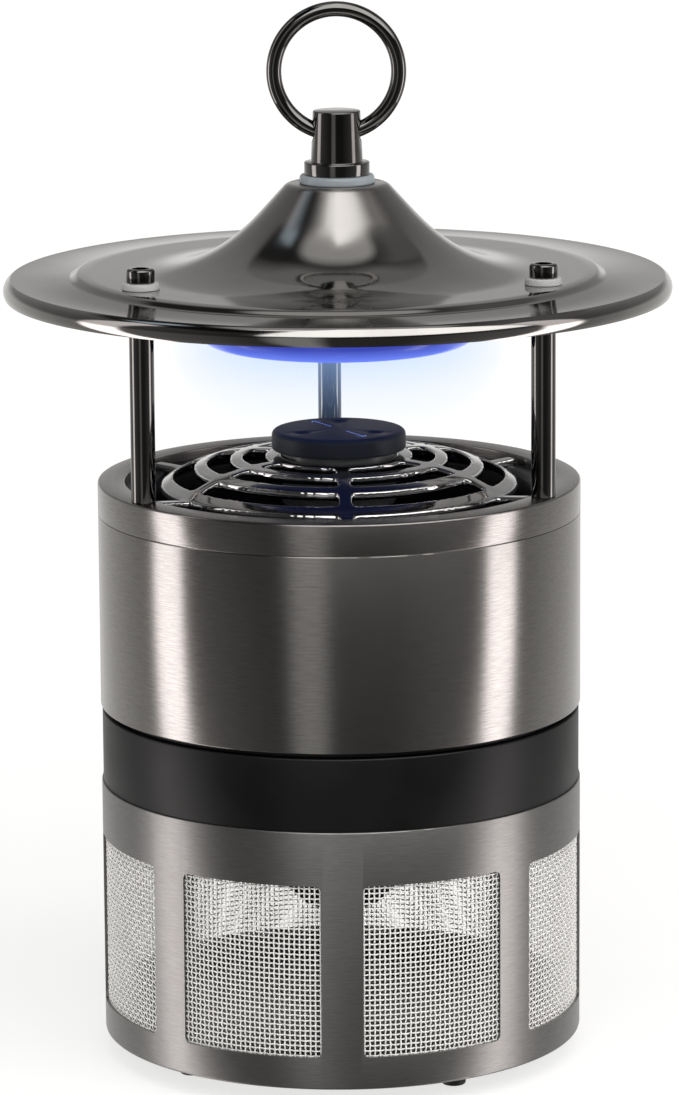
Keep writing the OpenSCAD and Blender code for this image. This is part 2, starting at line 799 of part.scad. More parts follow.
module fan_impeller() {
    color("#222224")
    difference() {
        union() {
            rotate_extrude() polygon([
                [0, hub_top_z], [0, hub_top_z - 3], [hub_r - hub_t - 3, hub_top_z - 3],
                [hub_r - hub_t, hub_top_z - 5], [hub_r - hub_t, hub_z], [hub_r, hub_z],
                [hub_r, hub_top_z - 4], [hub_r - 4, hub_top_z]]);
            rod(shaft_r + 2.5, hub_z + 1, hub_top_z - eps);
            intersection() {
                for (k = [0:blade_count - 1]) rotate([0, 0, 360 * k / blade_count])
                    translate([hub_r - 1, 0, blade_z]) rotate([blade_pitch, 0, 0])
                        translate([0, -blade_chord / 2, -blade_t / 2]) cube([fan_d, blade_chord, blade_t]);
                band(fan_d / 2, hub_r - hub_t + 0.5, hub_z - 5, hub_top_z + 5);
            }
        }
        rod(shaft_r, hub_z - cut, hub_top_z + cut);
    }
}

module fan_nut() {
    color("#b08d57")
    difference() {
        translate([0, 0, hub_top_z]) cylinder(r = shaft_r + 1.8, h = fan_nut_h, $fn = 6);
        rod(shaft_r, hub_top_z - cut, hub_top_z + fan_nut_h - 1);
    }
}

module motor_cable() {
    a = bracket_turn;
    out = [cos(a), sin(a), 0];
    run_z = bracket_top_z + 1.6;
    plug_x = (part_y + 2) * cos(a) / sin(a);
    color("#111111")
    cable([
        [plug_x, part_y + 2, board_z + 3.9], [plug_x, part_y + 2, run_z + 1.6],
        [plug_x, part_y + 2, run_z + 0.4] - 0.4 * out, [plug_x, part_y + 2, run_z] - 1.6 * out,
        (duct_r - 4) * out + [0, 0, run_z], (motor_r + 4) * out + [0, 0, run_z],
        (motor_r + 0.15) * out + [0, 0, run_z]], cable_r, [sin(a), -cos(a), 0]);
}

// ---- Electronics ----

module control_board() {
    color("#1f5c3a")
    difference() {
        translate([-board_w / 2, board_y, board_z]) cube([board_w, board_t, board_h]);
        for (p = board_screw_places) translate([p.x, board_y - cut, p.z])
            rotate([-90, 0, 0]) cylinder(r = board_screw_r + seat_gap, h = board_t + 2 * cut);
    }
}

module board_parts() {
    color("#2a2a2a") {
        translate([-14.5, part_y, board_z + 10]) cube([5, 4 - eps, 6]);
        translate([-15.5, part_y, board_z + 22]) cube([8, 4 - eps, 6]);
        translate([8, part_y, board_z + 4]) cube([8, 4 - eps, 6]);
        translate([14, part_y, board_z + 13]) cube([7, 4 - eps, 6]);
        translate([2, board_y - 1.6, board_z + 14]) cube([7, 1.6 - eps, 7]);
        translate([-4, board_y - 2.6, board_z + 6]) cylinder(r = 2.5, h = 9);
    }
}

module board_screws() {
    color("#8d8d8d")
    for (p = board_screw_places) translate([p.x, board_y, p.z])
        rotate([90, 0, 0]) pan_screw(board_screw_r, board_t + 3);
}

module power_cable() {
    a = socket_turn;
    back = [cos(a), sin(a), 0];
    z = board_z + 16;
    color("#111111")
    cable([
        (socket_back_r - 0.02) * back + [0, 0, socket_z], (socket_back_r - 1.3) * back + [0, 0, socket_z],
        (socket_back_r - 2.4) * back + [-0.5, 0.3, socket_z],
        [board_w / 2 + 7, board_y - 8, (socket_z + z) / 2], [board_w / 2 + 3, part_y + 1.6, z],
        [board_w / 2 - 0.9, part_y + 2, z]], cable_r, [0, 0, 1]);
}

module dc_socket() {
    color("#141414")
    at(0, socket_turn, socket_z) difference() {
        union() {
            spur(socket_r, socket_back_r, socket_out_r);
            spur(socket_flange_r, body_r - 3.9, body_r - 1.8);
        }
        spur(plug_hole_r, body_r - 8, socket_out_r + cut);
        spur(socket_pin_r + seat_gap, socket_back_r - cut, body_r);
    }
}

module socket_pin() {
    color("#c9c9c4")
    at(0, socket_turn, socket_z) spur(socket_pin_r, socket_back_r, body_r - 0.6);
}

module socket_nut() {
    color("#2a2a2a")
    at(0, socket_turn, socket_z) difference() {
        spur(7, body_r + 0.2, body_r + 2.4);
        spur(socket_r + seat_gap, body_r - 1, body_r + 4);
    }
}

// ---- Housing base ----

module housing_base() {
    lip_z0 = collar_top_z + 0.4;
    post_w = 5;
    color("#141414")
    difference() {
        union() {
            band(base_r, base_in_r, sleeve_z, base_z + eps);
            band(base_r - 1, base_in_r, lip_z0, sleeve_z + eps);
            band(base_r, base_hole_r, base_z, base_top_z);
            intersection() {
                for (x = [-1, 1])
                    translate([x * board_screw_x - post_w / 2, board_y + board_t + eps, base_top_z - eps])
                        cube([post_w, 4, board_h + 4]);
                rod(base_r, base_z, ring_z);
            }
        }
        for (k = [0:key_count - 1]) rotate([0, 0, 360 * k / key_count + 30])
            translate([base_in_r - 1, -key_w / 2 - move_gap, lip_z0 - cut])
                cube([key_h + 1 + 0.1, key_w + 2 * move_gap, gasket_z - lip_z0 + cut]);
        for (k = [0:2]) at(tie_ring, post_angles[k] + 180)
            rod(tie_r + seat_gap, base_z - cut, base_top_z + cut);
        for (k = [0:3]) at(bracket_screw_ring, bracket_turn + 45 + 90 * k)
            rod(bracket_screw_r + seat_gap, base_z - cut, base_top_z + cut);
        for (p = board_screw_places) translate([p.x, board_y, p.z])
            rotate([-90, 0, 0]) cylinder(r = board_screw_r + seat_gap, h = 4.8);
    }
}

module seal_ring() {
    color("#202020")
    band(base_in_r - seat_gap, spigot_r - spigot_t - 0.6, gasket_z, base_z);
}

// ---- Basket ----

module basket_collar() {
    skirt_r = body_r - shell_t - seat_gap;
    color("#131313")
    union() {
        band(collar_r, collar_r - collar_t, shell_top_z, collar_top_z);
        band(skirt_r, collar_r - collar_t, shell_top_z - skirt_h, shell_top_z + eps);
        band(collar_r - collar_t + eps, spigot_r - spigot_t, collar_top_z - 2, collar_top_z);
        band(spigot_r, spigot_r - spigot_t, collar_top_z - 2 - eps, collar_top_z + spigot_h);
        for (k = [0:key_count - 1]) rotate([0, 0, 360 * k / key_count + 30])
            translate([spigot_r - 1, -key_w / 2, collar_top_z - eps]) cube([1 + key_h, key_w, spigot_h - 1]);
        difference() {
            band(collar_r - collar_t + eps, ledge_in_r, ledge_z - ledge_t, ledge_z);
            for (k = [0:2]) at(funnel_screw_ring, 120 * k)
                rod(funnel_screw_r + seat_gap, ledge_z - ledge_t - cut, ledge_z + cut);
        }
    }
}

module escape_funnel() {
    outlet_r = outlet_d / 2;
    color("#1b1b1b")
    difference() {
        rotate_extrude() polygon([
            [outlet_r, outlet_z], [outlet_r + funnel_t, outlet_z],
            [funnel_r, ledge_z - 1], [funnel_r, ledge_z],
            [funnel_flange_r, ledge_z], [funnel_flange_r, ledge_z + funnel_t],
            [funnel_r + 0.5, ledge_z + funnel_t], [outlet_r, outlet_z + 0.6]]);
        for (k = [0:2]) at(funnel_screw_ring, 120 * k)
            rod(funnel_screw_r + seat_gap, ledge_z - cut, ledge_z + funnel_t + cut);
    }
}

module funnel_screws() {
    color("#8d8d8d")
    for (k = [0:2]) at(funnel_screw_ring, 120 * k, ledge_z + funnel_t)
        pan_screw(funnel_screw_r, funnel_t + ledge_t);
}

module basket_shell() {
    window_h = basket_h - window_sill - window_head;
    color("#6f6b67")
    difference() {
        union() {
            rotate_extrude($fn = 144) translate([body_r - shell_t, shell_z]) square([shell_t, basket_h]);
            band(body_r - shell_t + eps, body_r - lip_w, shell_z, shell_z + shell_t);
        }
        for (k = [0:window_count - 1]) rotate([90, 0, -90 + 180 / window_count + 360 * k / window_count + 90])
            translate([0, shell_z + window_sill + window_h / 2, -body_r - cut])
                linear_extrude(body_r / 2) polygon(round_rect(window_w, window_h, window_corner));
    }
}

// Stands for the woven wire as a plain thin tube
module mesh_sleeve() {
    color("#c9c7c2")
    band(mesh_r, mesh_r - mesh_t, mesh_z, mesh_top_z);
}

module floor_pan() {
    color("#3a3938")
    difference() {
        rod(mesh_r, pan_z, pan_z + pan_t);
        for (a = foot_angles) at(foot_circle_r, a)
            rod(foot_screw_r + seat_gap, pan_z - cut, pan_z + pan_t + cut);
    }
}

module foot(a) {
    color("#0f0f0f")
    at(foot_circle_r, a) difference() {
        rotate_extrude() polygon([
            [0, 0], [foot_d / 2 - 0.6, 0], [foot_d / 2, 0.6], [foot_d / 2, foot_h - 2.5],
            [foot_top_r, foot_h - 0.5], [foot_top_r, pan_z], [0, pan_z]]);
        rod(foot_screw_r + seat_gap, 1.8, pan_z + cut);
    }
}

module foot_screws() {
    color("#8d8d8d")
    for (a = foot_angles) at(foot_circle_r, a, pan_z + pan_t)
        pan_screw(foot_screw_r, pan_t + pan_z - 2.4);
}

hanging_ring();
ring_knob();
knob_washer();
centre_stud();
stud_nut();
hood();
brim_screws();
brim_washers();
post_back();
post(post_angles[1]);  // post_left
post(post_angles[2]);  // post_right
lamp_base();
led_board();
uv_leds();
led_screws();
lamp_lens();
lamp_cable();
top_ring();
tie_rods();
intake_grille();
lure_holder();
lure_tablet();
lure_cap();
body_sleeve();
fan_duct();
motor_bracket();
bracket_screws();
motor_can();
motor_magnets();
motor_bearings();
motor_screws();
motor_shaft();
motor_rotor();
fan_impeller();
fan_nut();
motor_cable();
control_board();
board_parts();
board_screws();
power_cable();
dc_socket();
socket_pin();
socket_nut();
housing_base();
seal_ring();
basket_collar();
escape_funnel();
funnel_screws();
basket_shell();
mesh_sleeve();
floor_pan();
foot(foot_angles[0]);  // foot_front_right
foot(foot_angles[1]);  // foot_back_right
foot(foot_angles[2]);  // foot_back_left
foot(foot_angles[3]);  // foot_front_left
foot_screws();
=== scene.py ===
import json
import math

import bpy
from mathutils import Matrix, Vector

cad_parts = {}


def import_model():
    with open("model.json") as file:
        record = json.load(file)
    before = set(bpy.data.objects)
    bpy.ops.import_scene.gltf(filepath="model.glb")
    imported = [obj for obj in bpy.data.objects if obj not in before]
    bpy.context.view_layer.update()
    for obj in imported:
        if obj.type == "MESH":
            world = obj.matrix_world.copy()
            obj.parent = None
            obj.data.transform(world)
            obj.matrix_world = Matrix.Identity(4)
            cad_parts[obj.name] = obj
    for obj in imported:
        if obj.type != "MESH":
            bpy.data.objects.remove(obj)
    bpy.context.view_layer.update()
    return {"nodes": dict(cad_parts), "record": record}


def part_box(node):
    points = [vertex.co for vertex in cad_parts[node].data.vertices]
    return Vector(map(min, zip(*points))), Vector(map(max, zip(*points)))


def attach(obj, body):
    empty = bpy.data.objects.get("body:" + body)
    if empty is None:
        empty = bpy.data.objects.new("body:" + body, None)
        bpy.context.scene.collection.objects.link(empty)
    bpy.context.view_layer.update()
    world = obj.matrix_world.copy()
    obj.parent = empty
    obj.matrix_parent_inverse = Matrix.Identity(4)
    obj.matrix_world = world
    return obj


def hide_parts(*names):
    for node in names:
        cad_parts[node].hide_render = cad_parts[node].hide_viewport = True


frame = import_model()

MM = 0.001
TURN = 2 * math.pi
MERGE_GAP = 1e-6
QUARTER = [math.radians(90 * k / 12) for k in range(13)]


# ---- Sizes taken from the frame ----

def low(node):
    """Lowest corner of a node."""
    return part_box(node)[0]


def high(node):
    """Highest corner of a node."""
    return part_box(node)[1]


def radius_of(node):
    """Outer radius of a round node centred on the upright axis."""
    return max(high(node)[0], high(node)[1])


def middle_of(node):
    """Middle of a node's box."""
    a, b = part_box(node)
    return Vector([(p + q) / 2 for p, q in zip(a, b)])


GROUND_Z = 0.0
SHELL_Z = low("basket_shell")[2]
SHELL_TOP_Z = high("basket_shell")[2]
COLLAR_TOP_Z = SHELL_TOP_Z + 24.2 * MM
SLEEVE_Z = low("body_sleeve")[2]
RING_Z = high("body_sleeve")[2]
DECK_Z = high("top_ring")[2]
SEAT_Z = high("post_left")[2]
CROWN_Z = high("hood")[2]
BODY_R = round(high("body_sleeve")[0], 3)
BRIM_R = round(high("hood")[0], 3)
HOOD_T = 1.2 * MM
BRIM_Z = SEAT_Z + HOOD_T
STUD_HOLE_R = 3.3 * MM
POST_R = 4 * MM
POST_RING = BODY_R - 5 * MM
POST_ANGLES = [math.radians(a) for a in (92.3, 212.3, 332.3)]
DUCT_R = 62 * MM
MOUTH_R = 66.5 * MM
LEDGE_Z = DECK_Z - 3 * MM
LEDGE_R = BODY_R - 9.1 * MM
GRILLE_EDGE = DUCT_R - 4.8 * MM
GRILLE_END = MOUTH_R + 3 * MM
GRILLE_RISE = 8.2 * MM
WINDOW_ANGLES = [math.radians(-90 + 22.5 + 45 * k) for k in range(8)]
BLADES = 7


# ---- Modelling helpers ----

def clear():
    """Leaves edit mode and deselects everything."""
    if bpy.context.object and bpy.context.object.mode != "OBJECT":
        bpy.ops.object.mode_set(mode="OBJECT")
    bpy.ops.object.select_all(action="DESELECT")


def pick(obj):
    """Makes an object the only selected one."""
    clear()
    obj.select_set(True)
    bpy.context.view_layer.objects.active = obj


def settle(obj):
    """Puts an object's place, turn and size into its mesh."""
    pick(obj)
    bpy.ops.object.transform_apply(location=True, rotation=True, scale=True)


def tidy_normals(obj):
    """Merges doubles and points every face outwards."""
    pick(obj)
    bpy.ops.object.mode_set(mode="EDIT")
    bpy.ops.mesh.select_all(action="SELECT")
    bpy.ops.mesh.remove_doubles(threshold=MERGE_GAP)
    bpy.ops.mesh.normals_make_consistent(inside=False)
    bpy.ops.object.mode_set(mode="OBJECT")


def smooth(obj, angle=35):
    """Smooth shading, with creases past the given angle."""
    pick(obj)
    bpy.ops.object.shade_smooth_by_angle(angle=math.radians(angle))


def apply_all(obj):
    """Applies every modifier in order."""
    pick(obj)
    for mod in list(obj.modifiers):
        bpy.ops.object.modifier_apply(modifier=mod.name)


def bevel(obj, width, segments=2, angle=35):
    """Rounds the edges of a piece."""
    mod = obj.modifiers.new("round_edges", "BEVEL")
    mod.width = width
    mod.segments = segments
    mod.limit_method = "ANGLE"
    mod.angle_limit = math.radians(angle)
    mod.use_clamp_overlap = True
    apply_all(obj)


def combine(obj, operation, others):
    """Works other solid pieces into a piece, one by one, and deletes them."""
    for other in others:
        mod = obj.modifiers.new("combine", "BOOLEAN")
        mod.operation = operation
        mod.solver = "EXACT"
        mod.object = other
        apply_all(obj)
        bpy.data.objects.remove(other)


def carve(obj, *cutters):
    """Cuts pieces out of a piece."""
    combine(obj, "DIFFERENCE", cutters)


def weld(obj, *others):
    """Joins solid pieces into one skin."""
    combine(obj, "UNION", others)


def round_chosen(obj, chosen, radius, segments):
    """Rounds the edges whose two ends pass the test chosen(a, b)."""
    pick(obj)
    bpy.ops.object.mode_set(mode="EDIT")
    bpy.ops.mesh.select_all(action="DESELECT")
    bpy.ops.object.mode_set(mode="OBJECT")
    mesh = obj.data
    for edge in mesh.edges:
        a, b = (mesh.vertices[i].co for i in edge.vertices)
        edge.select = chosen(a, b)
    bpy.ops.object.mode_set(mode="EDIT")
    bpy.ops.mesh.select_mode(type="EDGE")
    bpy.ops.mesh.bevel(offset=radius, segments=segments)
    bpy.ops.mesh.select_mode(type="VERT")
    bpy.ops.object.mode_set(mode="OBJECT")


def gather(name, parts):
    """Joins separate meshes into one piece."""
    clear()
    for part in parts:
        part.select_set(True)
    bpy.context.view_layer.objects.active = parts[0]
    bpy.ops.object.join()
    parts[0].name = name
    return parts[0]


def copy_of(obj, name):
    """A copy with its own mesh."""
    pick(obj)
    bpy.ops.object.duplicate()
    twin = bpy.context.object
    twin.name = name
    return twin


def turned(obj, angle):
    """Turns a piece about the upright axis and applies the turn."""
    pick(obj)
    obj.rotation_euler.z = angle
    bpy.ops.object.transform_apply(location=False, rotation=True, scale=False)
    return obj


def shifted(obj, x=0.0, y=0.0, z=0.0):
    """Moves a piece and applies the move."""
    obj.location = (x, y, z)
    settle(obj)
    return obj


def arc(cx, cz, r, start, end, steps):
    """Points on an arc, with angles in degrees."""
    points = []
    for i in range(steps + 1):
        a = math.radians(start + (end - start) * i / steps)
        points.append((cx + r * math.cos(a), cz + r * math.sin(a)))
    return points


def rounded(corners, steps=4):
    """An outline whose corners (r, z, radius) are rounded by short arcs."""
    outline = []
    count = len(corners)
    for i, (x, z, r) in enumerate(corners):
        if r <= 0:
            outline.append((x, z))
            continue
        here = Vector((x, z))
        back = (Vector(corners[i - 1][:2]) - here).normalized()
        ahead = (Vector(corners[(i + 1) % count][:2]) - here).normalized()
        half = back.angle(ahead) / 2
        reach = r / math.tan(half)
        centre = here + (back + ahead).normalized() * (r / math.sin(half))
        first = here + back * reach - centre
        last = here + ahead * reach - centre
        span = first.angle_signed(last)
        for k in range(steps + 1):
            a = -span * k / steps
            c, s = math.cos(a), math.sin(a)
            outline.append((centre.x + first.x * c - first.y * s, centre.y + first.x * s + first.y * c))
    return outline


def lathe(name, outline, steps=192, crease=35, closed=True):
    """Turns an outline of (radius, height) points round the upright axis."""
    clear()
    r, z = outline[0]
    bpy.ops.mesh.primitive_plane_add(size=MM, location=(r, 0, z))
    obj = bpy.context.object
    obj.name = name
    settle(obj)
    bpy.ops.object.mode_set(mode="EDIT")
    bpy.ops.mesh.select_all(action="SELECT")
    bpy.ops.mesh.merge(type="CENTER")
    path = outline[1:] + ([outline[0]] if closed else [])
    for nr, nz in path:
        bpy.ops.mesh.extrude_region_move(TRANSFORM_OT_translate={"value": (nr - r, 0, nz - z)})
        r, z = nr, nz
    bpy.ops.mesh.select_all(action="SELECT")
    bpy.ops.mesh.spin(steps=steps, angle=TURN, center=(0, 0, 0), axis=(0, 0, 1))
    bpy.ops.object.mode_set(mode="OBJECT")
    tidy_normals(obj)
    smooth(obj, crease)
    return obj


def prism(name, sides, r, depth, place, turn=(0, 0, 0)):
    """A straight bar with the given number of sides, used as a cutter or a start."""
    clear()
    bpy.ops.mesh.primitive_cylinder_add(vertices=sides, radius=r, depth=depth, location=place,
                                        rotation=turn)
    obj = bpy.context.object
    obj.name = name
    settle(obj)
    return obj


def block(name, size, place, turn=(0, 0, 0)):
    """A box of the given size."""
    clear()
    bpy.ops.mesh.primitive_cube_add(size=1, location=place, rotation=turn)
    obj = bpy.context.object
    obj.name = name
    obj.scale = size
    settle(obj)
    return obj


def polar(r, angle, z=0.0):
    """A point at a radius and an angle."""
    return (r * math.cos(angle), r * math.sin(angle), z)


def level(angle=0.0):
    """The turn that lays an upright bar level, pointing outwards at an angle."""
    return (0, math.radians(90), angle)


def node_body(node):
    """The body that a CAD node belongs to."""
    for name, nodes in frame["record"]["behaviour"]["bodies"].items():
        if node in nodes:
            return name
    return None


def finish_piece(obj, node, material):
    """Gives a piece its material and its place in the frame."""
    obj.data.materials.clear()
    obj.data.materials.append(material)
    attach(obj, node_body(node))
    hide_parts(node)
    return obj


def refine(node, material, width=0.12 * MM, segments=2):
    """A node's own shape as a merged copy with rounded edges."""
    piece = copy_of(frame["nodes"][node], node + "_piece")
    bpy.ops.object.mode_set(mode="EDIT")
    bpy.ops.mesh.select_all(action="SELECT")
    bpy.ops.mesh.remove_doubles(threshold=2 * MERGE_GAP)
    bpy.ops.mesh.dissolve_limited(angle_limit=math.radians(1))
    bpy.ops.object.mode_set(mode="OBJECT")
    if width:
        bevel(piece, width, segments, 40)
    smooth(piece, 35)
    return finish_piece(piece, node, material)


# ---- Node helpers ----

NOISE_RANGE = (0.3, 0.7)


def new_group(name, inputs, outputs):
    """An empty shader node group with named sockets."""
    group = bpy.data.node_groups.new(name, "ShaderNodeTree")
    for label, kind, value in inputs:
        socket = group.interface.new_socket(name=label, in_out="INPUT", socket_type=kind)
        socket.default_value = value
    for label, kind in outputs:
        group.interface.new_socket(name=label, in_out="OUTPUT", socket_type=kind)
    return group


def add(tree, kind, **values):
    """A new node with its properties set."""
    node = tree.nodes.new(kind)
    for key, value in values.items():
        setattr(node, key, value)
    return node


def maths(tree, operation, a, b=None, clamp=False):
    """A Math node fed by sockets or numbers; returns its output."""
    node = add(tree, "ShaderNodeMath", operation=operation, use_clamp=clamp)
    for slot_index, value in enumerate((a, b)):
        if value is None:
            continue
        if isinstance(value, (int, float)):
            node.inputs[slot_index].default_value = value
        else:
            tree.links.new(value, node.inputs[slot_index])
    return node.outputs[0]


def noise(tree, vector, scale, detail=2.0, rough=0.5):
    """A Noise Texture's value."""
    node = add(tree, "ShaderNodeTexNoise")
    node.inputs["Scale"].default_value = scale
    node.inputs["Detail"].default_value = detail
    node.inputs["Roughness"].default_value = rough
    tree.links.new(vector, node.inputs["Vector"])
    return node.outputs["Fac"]


def spread(tree, value, low_in, high_in, low_out=0.0, high_out=1.0):
    """Maps a value from one range to another, clamped."""
    node = add(tree, "ShaderNodeMapRange")
    node.inputs["From Min"].default_value = low_in
    node.inputs["From Max"].default_value = high_in
    for label, out in (("To Min", low_out), ("To Max", high_out)):
        if isinstance(out, (int, float)):
            node.inputs[label].default_value = out
        else:
            tree.links.new(out, node.inputs[label])
    tree.links.new(value, node.inputs["Value"])
    return node.outputs["Result"]


def coordinates(tree):
    """Object coordinates, whole and as x, y and z."""
    coords = add(tree, "ShaderNodeTexCoord").outputs["Object"]
    parts = add(tree, "ShaderNodeSeparateXYZ")
    tree.links.new(coords, parts.inputs[0])
    return coords, parts.outputs


def axis_distance(tree, x, y):
    """Distance from the upright axis."""
    square = [maths(tree, "MULTIPLY", value, value) for value in (x, y)]
    return maths(tree, "SQRT", maths(tree, "ADD", *square))


def scaled_by(tree, coords, scale):
    """Coordinates scaled by a socket."""
    node = add(tree, "ShaderNodeVectorMath", operation="SCALE")
    tree.links.new(coords, node.inputs[0])
    tree.links.new(scale, node.inputs["Scale"])
    return node.outputs[0]


# ---- Shared effects, as node groups ----

def turned_lines_group():
    """Fine lines that run round the upright axis, as a lathe or a brush leaves them."""
    group = new_group("turned_lines", [
        ("Fineness", "NodeSocketFloat", 900.0), ("Breaks", "NodeSocketFloat", 14.0)],
        [("Lines", "NodeSocketFloat"), ("Patches", "NodeSocketFloat")])
    source = add(group, "NodeGroupInput")
    target = add(group, "NodeGroupOutput")
    coords, (x, y, z) = coordinates(group)
    r = axis_distance(group, x, y)
    around = maths(group, "ABSOLUTE", maths(group, "ARCTAN2", y, x))
    fineness, breaks = source.outputs["Fineness"], source.outputs["Breaks"]
    vector = add(group, "ShaderNodeCombineXYZ")
    group.links.new(maths(group, "MULTIPLY", maths(group, "ADD", r, z), fineness), vector.inputs[0])
    group.links.new(maths(group, "MULTIPLY", maths(group, "SUBTRACT", r, z), fineness), vector.inputs[1])
    group.links.new(maths(group, "MULTIPLY", around, breaks), vector.inputs[2])
    lines = noise(group, vector.outputs[0], 1.0, 3.0, 0.7)
    patches = noise(group, coords, 24.0, 2.0, 0.5)
    group.links.new(lines, target.inputs[0])
    group.links.new(patches, target.inputs[1])
    return group


def moulded_group():
    """The fine spark texture and slight unevenness of moulded plastic."""
    group = new_group("moulded_grain", [("Grain", "NodeSocketFloat", 2600.0)],
                      [("Height", "NodeSocketFloat"), ("Unevenness", "NodeSocketFloat")])
    source = add(group, "NodeGroupInput")
    target = add(group, "NodeGroupOutput")
    coords, _ = coordinates(group)
    scaled = scaled_by(group, coords, source.outputs["Grain"])
    fine = noise(group, scaled, 1.0, 2.0, 0.6)
    broad = noise(group, coords, 30.0, 3.0, 0.55)
    group.links.new(fine, target.inputs[0])
    group.links.new(broad, target.inputs[1])
    return group


def handling_group():
    """Faint smears and specks that handling leaves on polished metal."""
    group = new_group("handling_marks", [("Size", "NodeSocketFloat", 40.0)], [("Marks", "NodeSocketFloat")])
    source = add(group, "NodeGroupInput")
    target = add(group, "NodeGroupOutput")
    coords, _ = coordinates(group)
    scaled = scaled_by(group, coords, source.outputs["Size"])
    smear = spread(group, noise(group, scaled, 1.0, 4.0, 0.6), 0.45, 0.8, 0.0, 0.75)
    speck = spread(group, noise(group, scaled, 23.0, 1.0, 0.5), 0.68, 0.8, 0.0, 0.25)
    both = maths(group, "ADD", smear, speck)
    group.links.new(both, target.inputs[0])
    return group


LINES = turned_lines_group()
GRAIN = moulded_group()
MARKS = handling_group()


def place_group(tree, group, **values):
    """Puts a shared effect into a material with its own values."""
    node = add(tree, "ShaderNodeGroup", node_tree=group)
    for label, value in values.items():
        node.inputs[label].default_value = value
    return node


def blend_colour(tree, factor, dark, light):
    """A colour between two, by a factor socket."""
    node = add(tree, "ShaderNodeMix", data_type="RGBA")
    tree.links.new(factor, node.inputs["Factor"])
    node.inputs["A"].default_value = (*dark, 1)
    node.inputs["B"].default_value = (*light, 1)
    return node.outputs["Result"]


def bump(tree, height, strength, distance):
    """A bump normal from a height socket."""
    node = add(tree, "ShaderNodeBump")
    node.inputs["Strength"].default_value = strength
    node.inputs["Distance"].default_value = distance
    tree.links.new(height, node.inputs["Height"])
    return node.outputs["Normal"]


def base_material(name, metallic):
    """A material with its Principled BSDF; returns material, tree and shader."""
    material = bpy.data.materials.new(name)
    material.use_nodes = True
    tree = material.node_tree
    shader = tree.nodes["Principled BSDF"]
    shader.inputs["Metallic"].default_value = metallic
    return material, tree, shader


def stretch_round(tree, shader):
    """Makes the gloss stretch as fine lines round the upright axis stretch it."""
    around = add(tree, "ShaderNodeTangent", direction_type="RADIAL", axis="Z")
    tree.links.new(around.outputs[0], shader.inputs["Tangent"])
    shader.inputs["Anisotropic Rotation"].default_value = 0.25


def brushed(name, dark, light, rough, fineness, depth=0.004 * MM, anisotropy=0.8):
    """Metal with fine lines round the axis."""
    material, tree, shader = base_material(name, 1.0)
    lines = place_group(tree, LINES, Fineness=fineness, Breaks=14.0)
    shade = spread(tree, lines.outputs["Lines"], *NOISE_RANGE)
    tree.links.new(blend_colour(tree, shade, dark, light), shader.inputs["Base Color"])
    patch = spread(tree, lines.outputs["Patches"], 0.2, 0.8, rough - 0.01, rough + 0.015)
    tree.links.new(patch, shader.inputs["Roughness"])
    tree.links.new(bump(tree, lines.outputs["Lines"], 1.0, depth), shader.inputs["Normal"])
    shader.inputs["Anisotropic"].default_value = anisotropy
    stretch_round(tree, shader)
    return material


def polished(name, dark, light, rough, mark_size, metallic=1.0):
    """Plated or polished metal with faint handling marks."""
    material, tree, shader = base_material(name, metallic)
    marks = place_group(tree, MARKS, Size=mark_size)
    tree.links.new(blend_colour(tree, marks.outputs["Marks"], light, dark), shader.inputs["Base Color"])
    tree.links.new(spread(tree, marks.outputs["Marks"], 0.0, 1.0, rough, rough + 0.09),
                   shader.inputs["Roughness"])
    return material


def spun(name, dark, light, crown_rough, rough, crown_edge):
    """Spun sheet: brushed round at the crown, near to a mirror further out."""
    material, tree, shader = base_material(name, 1.0)
    marks = place_group(tree, MARKS, Size=28.0)
    tree.links.new(blend_colour(tree, marks.outputs["Marks"], light, dark), shader.inputs["Base Color"])
    lines = place_group(tree, LINES, Fineness=500.0, Breaks=3.0)
    _, (x, y, _) = coordinates(tree)
    crown = spread(tree, axis_distance(tree, x, y), *crown_edge, 1.0, 0.0)
    smear = spread(tree, marks.outputs["Marks"], 0.0, 1.0, 0.0, 0.06)
    base = spread(tree, crown, 0.0, 1.0, rough, crown_rough)
    tree.links.new(maths(tree, "ADD", base, smear), shader.inputs["Roughness"])
    tree.links.new(bump(tree, lines.outputs["Lines"], 1.0, 0.006 * MM), shader.inputs["Normal"])
    tree.links.new(spread(tree, crown, 0.0, 1.0, 0.2, 0.9), shader.inputs["Anisotropic"])
    stretch_round(tree, shader)
    return material


def moulded(name, dark, light, rough, grain=2600.0, depth=0.01 * MM, shine=0.5):
    """Moulded plastic or rubber with a fine grain."""
    material, tree, shader = base_material(name, 0.0)
    effect = place_group(tree, GRAIN, Grain=grain)
    shade = spread(tree, effect.outputs["Unevenness"], *NOISE_RANGE)
    tree.links.new(blend_colour(tree, shade, dark, light), shader.inputs["Base Color"])
    tree.links.new(spread(tree, effect.outputs["Unevenness"], *NOISE_RANGE, rough, rough + 0.08),
                   shader.inputs["Roughness"])
    tree.links.new(bump(tree, effect.outputs["Height"], 1.0, depth), shader.inputs["Normal"])
    shader.inputs["Specular IOR Level"].default_value = shine
    return material


